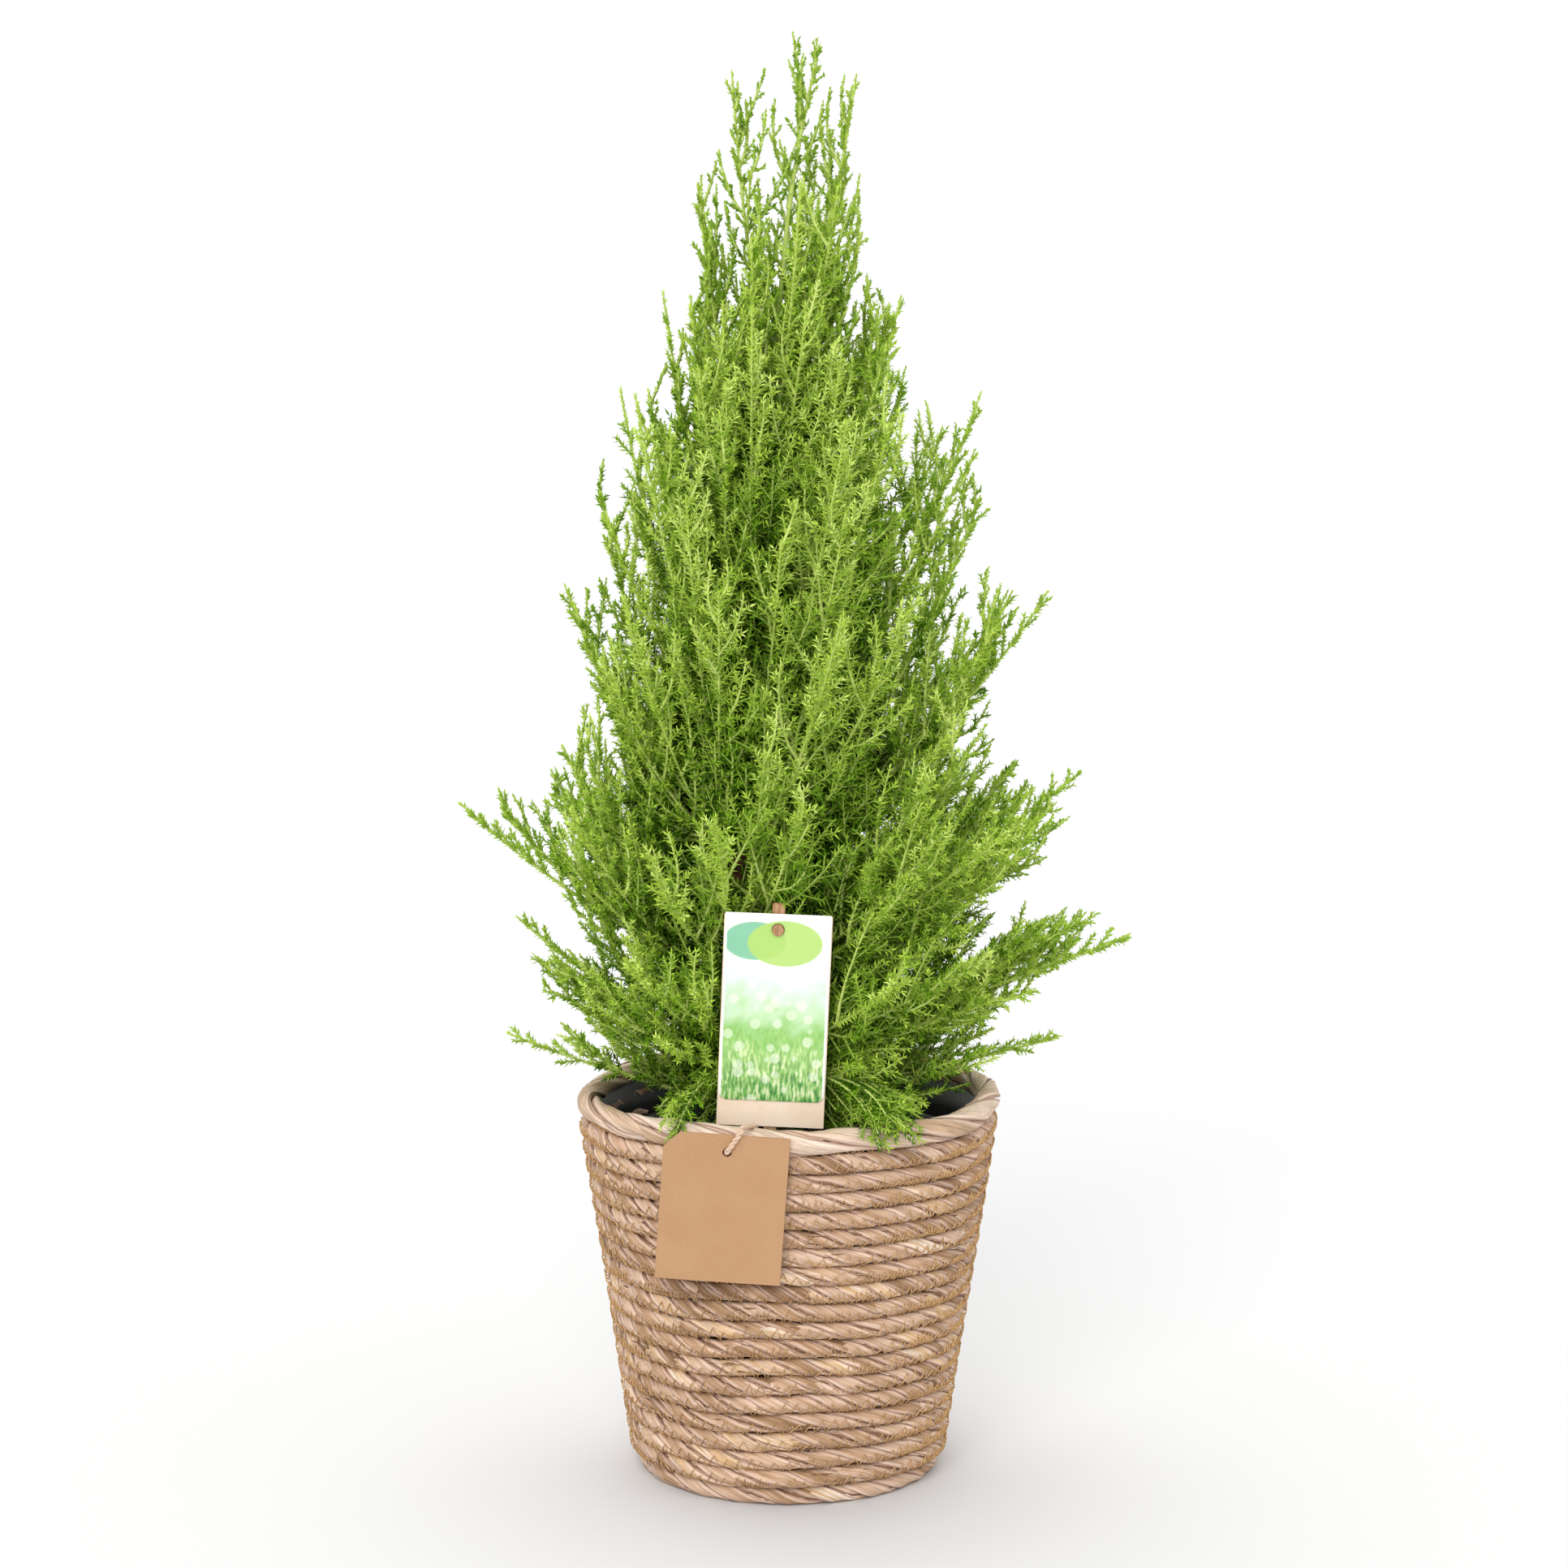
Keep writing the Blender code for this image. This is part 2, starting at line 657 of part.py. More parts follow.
def stem_mesh(name, plume, has_core):
    """The stem of a mass, from its bough or the trunk to the end spray, or into the core."""
    begin = plume.foliage_from
    last = end_share(plume)
    rings = STEM_RINGS
    if has_core:
        last = begin + CORE_ROWS[0][0] * (last - begin)
        rings = 3
    shares = [begin + (last - begin) * k / (rings - 1) for k in range(rings)]
    points = [plume.at(share) for share in shares]
    facing = plume.facing
    if begin > 0.0:
        facing = plume.along(begin)
        points[0] = points[0] + facing * GAP
    points[-1] = points[-1] + plume.along(last) * 0.003
    radii = [STEM_ROOT_RADIUS + (STEM_TIP_RADIUS - STEM_ROOT_RADIUS) * share for share in shares]
    return limb_mesh(name, points, radii, TRIANGLE, facing)


def join_mass(plume, others, limbs, material, solver):
    core = core_shape(plume, others, limbs)
    tree = BVHTree.FromPolygons(*core) if core else None
    name = "foliage_" + plume.name
    stem = add_object(name, stem_mesh(name, plume, core is not None), material)
    group = bpy.data.collections.new(name + "_sprays")
    shapes = sprays_of(plume, others, limbs, tree)
    if core:
        shapes.append(core)
    for k, (vertices, faces) in enumerate(shapes):
        spray = bpy.data.objects.new(f"{name}_spray_{k}", mesh_from(name, vertices, faces))
        spray.data.materials.append(material)
        group.objects.link(spray)
    bpy.context.scene.collection.children.link(group)
    join_with(stem, group, solver)
    return stem


def is_closed(mesh):
    bm = bmesh.new()
    bm.from_mesh(mesh)
    bmesh.ops.triangulate(bm, faces=bm.faces)
    closed = all(len(edge.link_faces) == 2 for edge in bm.edges)
    bm.free()
    return closed


def join_with(obj, group, solver="EXACT"):
    """Unites an object with every object of a collection, applies it, and removes the collection."""
    modifier = obj.modifiers.new("join", "BOOLEAN")
    modifier.operation = "UNION"
    modifier.operand_type = "COLLECTION"
    modifier.collection = group
    modifier.solver = solver
    bpy.context.view_layer.update()
    graph = bpy.context.evaluated_depsgraph_get()
    joined = bpy.data.meshes.new_from_object(obj.evaluated_get(graph))
    obj.modifiers.remove(modifier)
    obj.data = joined
    for other in list(group.objects):
        bpy.data.objects.remove(other)
    bpy.data.collections.remove(group)


def card_place(below_top, forward):
    """The place of a point on the card's middle line, below its top edge and out from its back."""
    turn = Matrix.Rotation(CARD_TILT, 4, "Y") @ Matrix.Rotation(CARD_LEAN, 4, "X")
    return (Matrix.Translation(CARD_TOP) @ turn
            @ Matrix.Translation((0.0, -forward, -below_top)))


def plate_mesh(name, outline, thick):
    """A flat plate in the XZ plane: an outline of (x, z) points, with its back at y = 0."""
    count = len(outline)
    vertices = [Vector((x, 0.0, z)) for x, z in outline]
    vertices += [Vector((x, -thick, z)) for x, z in outline]
    faces = [tuple(reversed(range(count))), tuple(range(count, 2 * count))]
    faces += [(k, (k + 1) % count, count + (k + 1) % count, count + k) for k in range(count)]
    mesh = mesh_from(name, vertices, faces)
    bm = bmesh.new()
    bm.from_mesh(mesh)
    bmesh.ops.recalc_face_normals(bm, faces=bm.faces)
    bm.to_mesh(mesh)
    bm.free()
    return mesh


def round_corner(x, z, radius, first, steps=4):
    """Points of a quarter-round corner about (x, z), from the angle first in degrees."""
    turns = [math.radians(first + 90.0 * k / steps) for k in range(steps + 1)]
    return [(x + radius * math.cos(turn), z + radius * math.sin(turn)) for turn in turns]


def hole_cutter(name, place, radius, depth, material):
    mesh = bpy.data.meshes.new(name)
    bm = bmesh.new()
    bmesh.ops.create_cone(bm, cap_ends=True, segments=PEG_SIDES, radius1=radius, radius2=radius,
                          depth=depth)
    bmesh.ops.rotate(bm, matrix=Matrix.Rotation(math.pi / 2.0, 3, "X"), verts=bm.verts)
    bm.to_mesh(mesh)
    bm.free()
    cutter = add_object(name, mesh, material)
    cutter.matrix_world = place
    return cutter


def build_card(print_material, kraft_material):
    half = CARD_WIDTH / 2.0
    outline = [(-half, 0.0)]
    outline += round_corner(-half + CARD_CORNER, -CARD_HEIGHT + CARD_CORNER, CARD_CORNER, 180.0)
    outline += round_corner(half - CARD_CORNER, -CARD_HEIGHT + CARD_CORNER, CARD_CORNER, 270.0)
    outline += [(half, 0.0)]
    card = add_object("picture_card", plate_mesh("picture_card", outline, CARD_THICK),
                      print_material)
    card.matrix_world = card_place(0.0, BACKING_THICK + GAP)
    half = BACKING_WIDTH / 2.0
    outline = [(-half, -0.001), (-half, -BACKING_HEIGHT), (half, -BACKING_HEIGHT), (half, -0.001)]
    backing = add_object("card_backing", plate_mesh("card_backing", outline, BACKING_THICK),
                         kraft_material)
    backing.matrix_world = card_place(0.0, 0.0)
    for plate in (card, backing):
        place = card_place(PEG_BELOW_TOP, 0.0)
        cut_with(plate, hole_cutter(plate.name + "_hole", place, PEG_RADIUS + GAP, 0.02,
                                    kraft_material))


def build_stick(material):
    """The flat stick behind the card, with the peg that the card hangs on."""
    top = -STICK_ABOVE
    length = STICK_FOOT + STICK_ABOVE
    stick = add_object("card_stick", box_mesh("card_stick", STICK_WIDTH, STICK_THICK, length),
                       material, 40.0)
    behind = -(STICK_THICK / 2.0 + GAP)
    stick.matrix_world = card_place(top + length / 2.0, behind)
    reach = STICK_THICK / 2.0 + GAP + BACKING_THICK + GAP + CARD_THICK + PEG_OUT
    group = bpy.data.collections.new("card_stick_peg")
    bpy.context.scene.collection.children.link(group)
    peg = hole_cutter("card_peg", card_place(PEG_BELOW_TOP, behind + reach / 2.0), PEG_RADIUS,
                      reach, material)
    bpy.context.scene.collection.objects.unlink(peg)
    group.objects.link(peg)
    join_with(stick, group)
    return stick


def tag_place(offset_x, offset_z, forward):
    turn = Matrix.Rotation(TAG_TILT, 4, "Y") @ Matrix.Rotation(TAG_LEAN, 4, "X")
    return (Matrix.Translation(TAG_MIDDLE) @ turn
            @ Matrix.Translation((offset_x, -forward, offset_z)))


def build_tag(material):
    half_x = TAG_WIDTH / 2.0
    half_z = TAG_HEIGHT / 2.0
    outline = [(-half_x, -half_z), (half_x, -half_z), (half_x, half_z),
               (-half_x + TAG_CUT_CORNER, half_z), (-half_x, half_z - TAG_CUT_CORNER)]
    tag = add_object("kraft_tag", plate_mesh("kraft_tag", outline, TAG_THICK), material)
    tag.matrix_world = tag_place(0.0, 0.0, 0.0)
    hole = hole_cutter("kraft_tag_hole", tag_place(TAG_HOLE.x, TAG_HOLE.y, 0.0),
                       TAG_HOLE_RADIUS, 0.02, material)
    cut_with(tag, hole)


def twine_route():
    """From behind the tag, out through its hole, up over the rim and down inside it."""
    lying = TAG_THICK + TWINE_RADIUS + GAP
    on_tag = ((0.0, 0.0, -0.0030), (0.0, 0.0, 0.0), (0.0002, 0.0004, 0.6 * lying),
              (0.0012, 0.0028, lying + 0.0003), (0.0040, 0.0072, lying), (0.0060, 0.0108, lying),
              (0.0072, 0.0138, 0.0010))
    route = [tag_place(TAG_HOLE.x + x, TAG_HOLE.y + z, forward).translation
             for x, z, forward in on_tag]
    outward = Vector((-0.17, -1.0, 0.0)).normalized()
    centre = outward * (wall_radius(RIM_LOW) + RIM_BULGE - RIM_COIL / 2.0)
    centre.z = BASKET_HEIGHT - RIM_COIL / 2.0
    ride = RIM_COIL / 2.0 + TWINE_RADIUS + 2.0 * GAP
    for turn in (90.0, 125.0, 160.0, 190.0):
        angle = math.radians(turn)
        route.append(centre + ride * math.cos(angle) * outward)
        route[-1].z += ride * math.sin(angle)
    return route


def smooth_route(points, per_span=2):
    """Points of a smooth curve through the route's own points."""
    found = []
    for k in range(len(points) - 1):
        before = points[max(0, k - 1)]
        start, end = points[k], points[k + 1]
        after = points[min(len(points) - 1, k + 2)]
        for step in range(per_span):
            t = step / per_span
            found.append(0.5 * ((2.0 * start) + (end - before) * t
                                + (2.0 * before - 5.0 * start + 4.0 * end - after) * t * t
                                + (3.0 * start - before - 3.0 * end + after) * t * t * t))
    return found + [points[-1]]


def build_twine(material):
    points = smooth_route(twine_route())
    mesh = limb_mesh("twine", points, [TWINE_RADIUS] * len(points), 5)
    return add_object("twine", mesh, material, 60.0)


def build():
    clear_scene()
    rope = finish_material("banana_leaf_rope", (0.53, 0.35, 0.20), 0.75)
    plastic = finish_material("black_plastic", (0.012, 0.012, 0.013), 0.5)
    earth = finish_material("potting_soil", (0.030, 0.019, 0.012), 0.95)
    bark = finish_material("young_bark", (0.13, 0.06, 0.03), 0.85)
    leaf = finish_material("lemon_foliage", (0.20, 0.33, 0.035), 0.6)
    wood = finish_material("birch_stick", (0.45, 0.26, 0.14), 0.7)
    kraft = finish_material("kraft_board", (0.58, 0.35, 0.19), 0.85)
    printed = finish_material("printed_card", (0.66, 0.80, 0.55), 0.45)
    jute = finish_material("jute_twine", (0.47, 0.31, 0.19), 0.9)

    stick = build_stick(wood)
    build_basket(rope)
    build_nursery_pot(plastic)
    build_soil(earth, stick.matrix_world.copy())
    build_trunk(bark)
    build_card(printed, kraft)
    build_tag(kraft)
    build_twine(jute)

    plumes = crown_plumes()
    limbs = []
    for plume in plumes:
        if plume.bough:
            build_bough(plume, bark)
            limbs += [(plume.at(BOUGH_SHARE * k / 12.0), BOUGH_ROOT_RADIUS + 0.0015)
                      for k in range(12)]
    for plume in plumes:
        others = [other for other in plumes if other is not plume]
        build_mass(plume, others, limbs, leaf)


build()
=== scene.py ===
"""Looks of the lemon cypress in its basket: feathery foliage on real twigs, bark, rope, paper."""
import math
import random

import bmesh
import bpy
import numpy as np
from mathutils import Matrix, Vector


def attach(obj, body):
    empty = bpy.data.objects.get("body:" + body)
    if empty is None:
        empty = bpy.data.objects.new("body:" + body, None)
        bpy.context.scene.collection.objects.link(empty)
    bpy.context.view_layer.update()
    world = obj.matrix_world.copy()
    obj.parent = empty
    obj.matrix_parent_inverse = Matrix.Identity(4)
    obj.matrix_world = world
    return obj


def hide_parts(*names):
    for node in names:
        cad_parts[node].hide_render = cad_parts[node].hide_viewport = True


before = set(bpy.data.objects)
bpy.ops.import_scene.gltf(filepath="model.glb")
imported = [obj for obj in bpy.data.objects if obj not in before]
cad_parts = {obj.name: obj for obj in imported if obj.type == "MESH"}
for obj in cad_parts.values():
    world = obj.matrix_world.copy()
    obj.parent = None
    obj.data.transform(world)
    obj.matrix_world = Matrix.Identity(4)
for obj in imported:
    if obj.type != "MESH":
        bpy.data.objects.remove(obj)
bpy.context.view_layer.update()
BODY = "root"
UP = np.array((0.0, 0.0, 1.0))

# The basket's and the pot's sizes, as the solids have them
BASKET_HEIGHT = 0.2124
RIM_COIL = 0.0125
RIM_LOW = BASKET_HEIGHT - RIM_COIL
RIM_BULGE = 0.0012
FOOT_RADIUS = 0.0855
WALL_SLOPE = 0.146
RIM_RING = FOOT_RADIUS + WALL_SLOPE * RIM_LOW + RIM_BULGE - RIM_COIL / 2.0
RIM_MIDDLE = BASKET_HEIGHT - RIM_COIL / 2.0
FOOT_ROUND = 0.013
WALL_THICK = 0.0085
GAP = 0.0003
POT_TOP_RADIUS = 0.0935
POT_FOOT_RADIUS = 0.0725
POT_HEIGHT = 0.176
POT_WALL = 0.0016
POT_LIP = 0.0032
POT_BASE = WALL_THICK + GAP
POT_LIP_HEIGHT = POT_BASE + POT_HEIGHT
SOIL_TOP = POT_LIP_HEIGHT - 0.012

# The trunk's curve
TRUNK_BASE_RADIUS = 0.0058
TRUNK_TIP_RADIUS = 0.0011
TRUNK_FLARE = 0.0032
TRUNK_FLARE_HEIGHT = 0.018
TRUNK_LEAN = -0.014
TRUNK_BOW = 0.017
TRUNK_BOW_PEAK = 0.65
TRUNK_TOP = 0.69
TRUNK_RINGS = 14
TRUNK_SIDES = 8
# The finer trunk with its bark: rings, sides, and the height where the green growth starts
BARK_RINGS = 150
BARK_SIDES = 26
GREEN_FROM = 0.56

# Tiers of plumes: name, height where the stems leave the trunk, height of the tips, reach right,
# left and in depth, turn of the first plume, number, and share of the rise at the elbow
TIERS = (
    ("spire", 0.600, 0.760, 0.037, 0.031, 0.024, 10.0, 2, 0.30),
    ("top", 0.535, 0.705, 0.046, 0.056, 0.046, 35.0, 3, 0.30),
    ("upper", 0.465, 0.645, 0.061, 0.069, 0.064, -12.0, 4, 0.30),
    ("shoulder", 0.390, 0.590, 0.104, 0.114, 0.090, 5.0, 5, 0.33),
    ("middle", 0.330, 0.487, 0.141, 0.128, 0.118, -14.0, 6, 0.38),
    ("skirt", 0.268, 0.378, 0.182, 0.188, 0.142, 20.0, 6, 0.48),
    ("lower", 0.226, 0.301, 0.187, 0.152, 0.145, -8.0, 6, 0.50),
    ("foot", 0.204, 0.241, 0.148, 0.154, 0.138, -1.5, 6, 0.50),
)
# Height that side limbs of the foot tier drop towards, as no tier lies below it
LOWEST_DROP = 0.225
TIERS_WITH_BOUGHS = ("skirt", "lower")
BOUGH_SHARE = 0.34
STEM_ROOT_RADIUS = 0.0019
STEM_TIP_RADIUS = 0.0005
FORK_ROOT_RADIUS = 0.0014
LEADER_TOP = Vector((0.0165, 0.002, 0.776))
TURN_JITTER = 5.0
HEIGHT_JITTER = 0.010
REACH_JITTER = 0.05
ELBOW_REACH = 0.62
DROOP_TIP_HEIGHT = 0.214
DROOP_REACH = 0.128
RIM_CLEAR = 0.010
GOLDEN_TURN = 137.508

# The card and the tag
CARD_WIDTH = 0.0560
CARD_HEIGHT = 0.1020
CARD_CORNER = 0.0045
CARD_THICK = 0.0006
BACKING_WIDTH = 0.0570
BACKING_HEIGHT = 0.1165
BACKING_THICK = 0.0008
CARD_TOP = Vector((-0.0052, -0.0870, 0.3237))
CARD_TILT = math.radians(2.4)
CARD_LEAN = math.radians(4.0)
STICK_WIDTH = 0.0066
STICK_THICK = 0.0026
STICK_ABOVE = 0.0052
STICK_FOOT = 0.190
PEG_BELOW_TOP = 0.0086
PEG_RADIUS = 0.0031
PEG_OUT = 0.0022
TAG_WIDTH = 0.0660
TAG_HEIGHT = 0.0800
TAG_THICK = 0.0008
TAG_CUT_CORNER = 0.0085
TAG_MIDDLE = Vector((-0.0348, -0.1173, 0.1725))
TAG_TILT = math.radians(4.0)
TAG_LEAN = math.radians(2.5)
TAG_HOLE = Vector((0.0005, 0.0305))
TAG_HOLE_RADIUS = 0.0024
TWINE_RADIUS = 0.0012
# The twine's two plies: one turn of them, how far off its middle they lie, and loose hairs
PLY_TURN = 0.0062
PLY_OFF = 0.00070
PLY_RADIUS = 0.00088
HAIRS = 46


# Materials

def linear(colour):
    """Linear values of an sRGB hex colour."""
    channels = [int(colour[k:k + 2], 16) / 255.0 for k in (1, 3, 5)]
    return (*[c / 12.92 if c <= 0.04045 else ((c + 0.055) / 1.055) ** 2.4 for c in channels], 1.0)


def add_node(tree, kind, inputs=None, out=0, **settings):
    """Adds a node and gives back one of its outputs. inputs are values, or sockets that are linked
    in. settings are the node's own properties, or the stops of its ramp."""
    node = tree.nodes.new("ShaderNode" + kind)
    for name, value in settings.items():
        if name != "stops":
            setattr(node, name, value)
            continue
        ramp = node.color_ramp
        while len(ramp.elements) > 1:
            ramp.elements.remove(ramp.elements[-1])
        for k, (position, colour) in enumerate(value):
            element = ramp.elements[0] if k == 0 else ramp.elements.new(position)
            element.position = position
            element.color = linear(colour)
    for name, value in (inputs or {}).items():
        if isinstance(value, bpy.types.NodeSocket):
            tree.links.new(value, node.inputs[name])
        else:
            node.inputs[name].default_value = value
    return node.outputs[out]


def new_material(name, roughness, ior=1.5):
    """A Principled material, its node tree and its shader."""
    material = bpy.data.materials.new(name)
    material.use_nodes = True
    tree = material.node_tree
    shader = tree.nodes["Principled BSDF"]
    shader.inputs["Roughness"].default_value = roughness
    shader.inputs["IOR"].default_value = ior
    return material, tree, shader


def grained(name, roughness, ior, grain, stops, relief=None, stretch=None):
    """A material with one grain, which gives its base colour through a ramp, and its relief as a
    strength and a depth. grain has the noise's inputs, and stretch is its scale to the metre along
    each axis, where it is drawn out."""
    material, tree, shader = new_material(name, roughness, ior)
    place = add_node(tree, "TexCoord", out="Object")
    if stretch:
        place = add_node(tree, "Mapping", {"Vector": place, "Scale": stretch})
    noise = add_node(tree, "TexNoise", {"Vector": place, **grain})
    colour = add_node(tree, "ValToRGB", {"Fac": noise}, stops=stops)
    tree.links.new(colour, shader.inputs["Base Color"])
    if relief:
        strength, depth = relief
        bump = add_node(tree, "Bump", {"Height": noise, "Strength": strength, "Distance": depth})
        tree.links.new(bump, shader.inputs["Normal"])
    return material


def needle_material(name, colour, edge):
    """Soft cypress needles: a waxy leaf skin, matt from far, with a little variation from one
    group of needles to the next."""
    material = grained(name, 0.55, 1.42, {"Scale": 160.0, "Detail": 1.0},
                       ((0.35, colour), (0.68, edge)))
    shader = material.node_tree.nodes["Principled BSDF"]
    shader.inputs["Specular IOR Level"].default_value = 0.08
    return material


def twig_material(name, colour, edge):
    """Green bark of this year's twigs: smooth and faintly waxy."""
    return grained(name, 0.5, 1.45, {"Scale": 90.0, "Detail": 2.0}, ((0.35, colour), (0.65, edge)))


def bark_material():
    """Young cypress bark: thin, red-brown and matt, flaking in fine upright strips."""
    return grained("young_bark", 0.85, 1.5, {"Scale": 1.0, "Detail": 5.0, "Roughness": 0.6},
                   ((0.30, "#3a2118"), (0.52, "#6e4130"), (0.72, "#93634a")),
                   (0.6, 0.0006), (1500.0, 1500.0, 160.0))


def leaf_rope_material(name, stops):
    """Dry banana leaf twisted into rope: fibres a third of a millimetre apart run along each strip,
    drawn at a millimetre to show, and every strip has its own tan. Towards its edges each strip is
    paler, partly painted highlight on its curved shoulders and partly the leaf's paler fold, and then
    brown, partly painted shade where it turns under its neighbour and partly the leaf's own browner
    edge."""
    material, tree, shader = new_material(name, 0.72, 1.48)
    uv = add_node(tree, "UVMap", uv_map="strip")
    tone = add_node(tree, "Attribute", out="Fac", attribute_name="strip_tone")
    along = add_node(tree, "Mapping", {"Vector": uv, "Scale": (60.0, 1100.0, 1.0)})
    fibres = add_node(tree, "TexNoise", {
        "Vector": along, "Scale": 1.0, "Detail": 4.0, "Roughness": 0.62})
    broad = add_node(tree, "Mapping", {"Vector": uv, "Scale": (45.0, 420.0, 1.0)})
    stains = add_node(tree, "TexNoise", {"Vector": broad, "Scale": 1.0, "Detail": 3.0})
    shifted = add_node(tree, "Math", {0: stains, 1: 0.90, 2: -0.45}, operation="MULTIPLY_ADD")
    place = add_node(tree, "Math", {0: tone, 1: shifted}, operation="ADD")
    tan = add_node(tree, "ValToRGB", {"Fac": place}, stops=stops)
    shade = add_node(tree, "MapRange", {
        "Value": fibres, "From Min": 0.32, "From Max": 0.66, "To Min": 0.62, "To Max": 1.16})
    streaked = add_node(tree, "Mix", {0: 1.0, 6: tan, 7: shade}, 2, data_type="RGBA",
                        blend_type="MULTIPLY")
    across = add_node(tree, "SeparateXYZ", {"Vector": uv}, "Y")
    off_middle = add_node(tree, "Math", {0: across}, operation="ABSOLUTE")
    # Paler band towards the strip's edges: partly painted highlight on its curved shoulders
    fold_highlight = add_node(tree, "MapRange", {
        "Value": off_middle, "From Min": 0.0028, "From Max": 0.0042, "To Min": 0.0, "To Max": 0.45})
    folded = add_node(tree, "Mix", {0: fold_highlight, 6: streaked, 7: linear("#f6ddcd")}, 2,
                      data_type="RGBA")
    # Brown band at the very edges: partly painted shade where the strip turns under its neighbour
    tuck_shade = add_node(tree, "MapRange", {
        "Value": off_middle, "From Min": 0.0044, "From Max": 0.0051, "To Min": 0.0, "To Max": 0.65})
    tucked = add_node(tree, "Mix", {0: tuck_shade, 6: folded, 7: linear("#8a583c")}, 2,
                      data_type="RGBA")
    tree.links.new(tucked, shader.inputs["Base Color"])
    relief = add_node(tree, "Bump", {"Height": fibres, "Strength": 0.9, "Distance": 0.0009})
    tree.links.new(relief, shader.inputs["Normal"])
    return material


def fibre_material(name, dark, light, scale=900.0):
    """Raw plant fibre thread: matt, with slubs and colour that changes about every millimetre."""
    return grained(name, 0.85, 1.5, {"Scale": scale, "Detail": 2.0}, ((0.3, dark), (0.7, light)))


def kraft_material(name, dark, light):
    """Unbleached kraft board: matt pulp with flecks of darker fibre about a millimetre long."""
    material, tree, shader = new_material(name, 0.82, 1.5)
    coords = add_node(tree, "TexCoord", out="Object")
    clouds = add_node(tree, "TexNoise", {"Vector": coords, "Scale": 55.0, "Detail": 4.0})
    squeezed = add_node(tree, "Mapping", {"Vector": coords, "Scale": (900.0, 900.0, 2600.0)})
    flecks = add_node(tree, "TexNoise", {"Vector": squeezed, "Scale": 1.0, "Detail": 3.0})
    pulp = add_node(tree, "ValToRGB", {"Fac": clouds}, stops=((0.35, dark), (0.65, light)))
    shade = add_node(tree, "MapRange", {
        "Value": flecks, "From Min": 0.25, "From Max": 0.6, "To Min": 0.90, "To Max": 1.02})
    flecked = add_node(tree, "Mix", {0: 1.0, 6: pulp, 7: shade}, 2, data_type="RGBA",
                       blend_type="MULTIPLY")
    tree.links.new(flecked, shader.inputs["Base Color"])
    relief = add_node(tree, "Bump", {"Height": flecks, "Strength": 0.15, "Distance": 0.0002})
    tree.links.new(relief, shader.inputs["Normal"])
    return material


def stick_material():
    """Unpainted birch split into flat sticks: long pale grain under a millimetre apart."""
    return grained("birch_stick", 0.65, 1.5, {"Scale": 1.0, "Detail": 4.0},
                   ((0.3, "#8d6443"), (0.55, "#b98e66"), (0.75, "#cfa981")),
                   (0.3, 0.0002), (1300.0, 1300.0, 60.0))


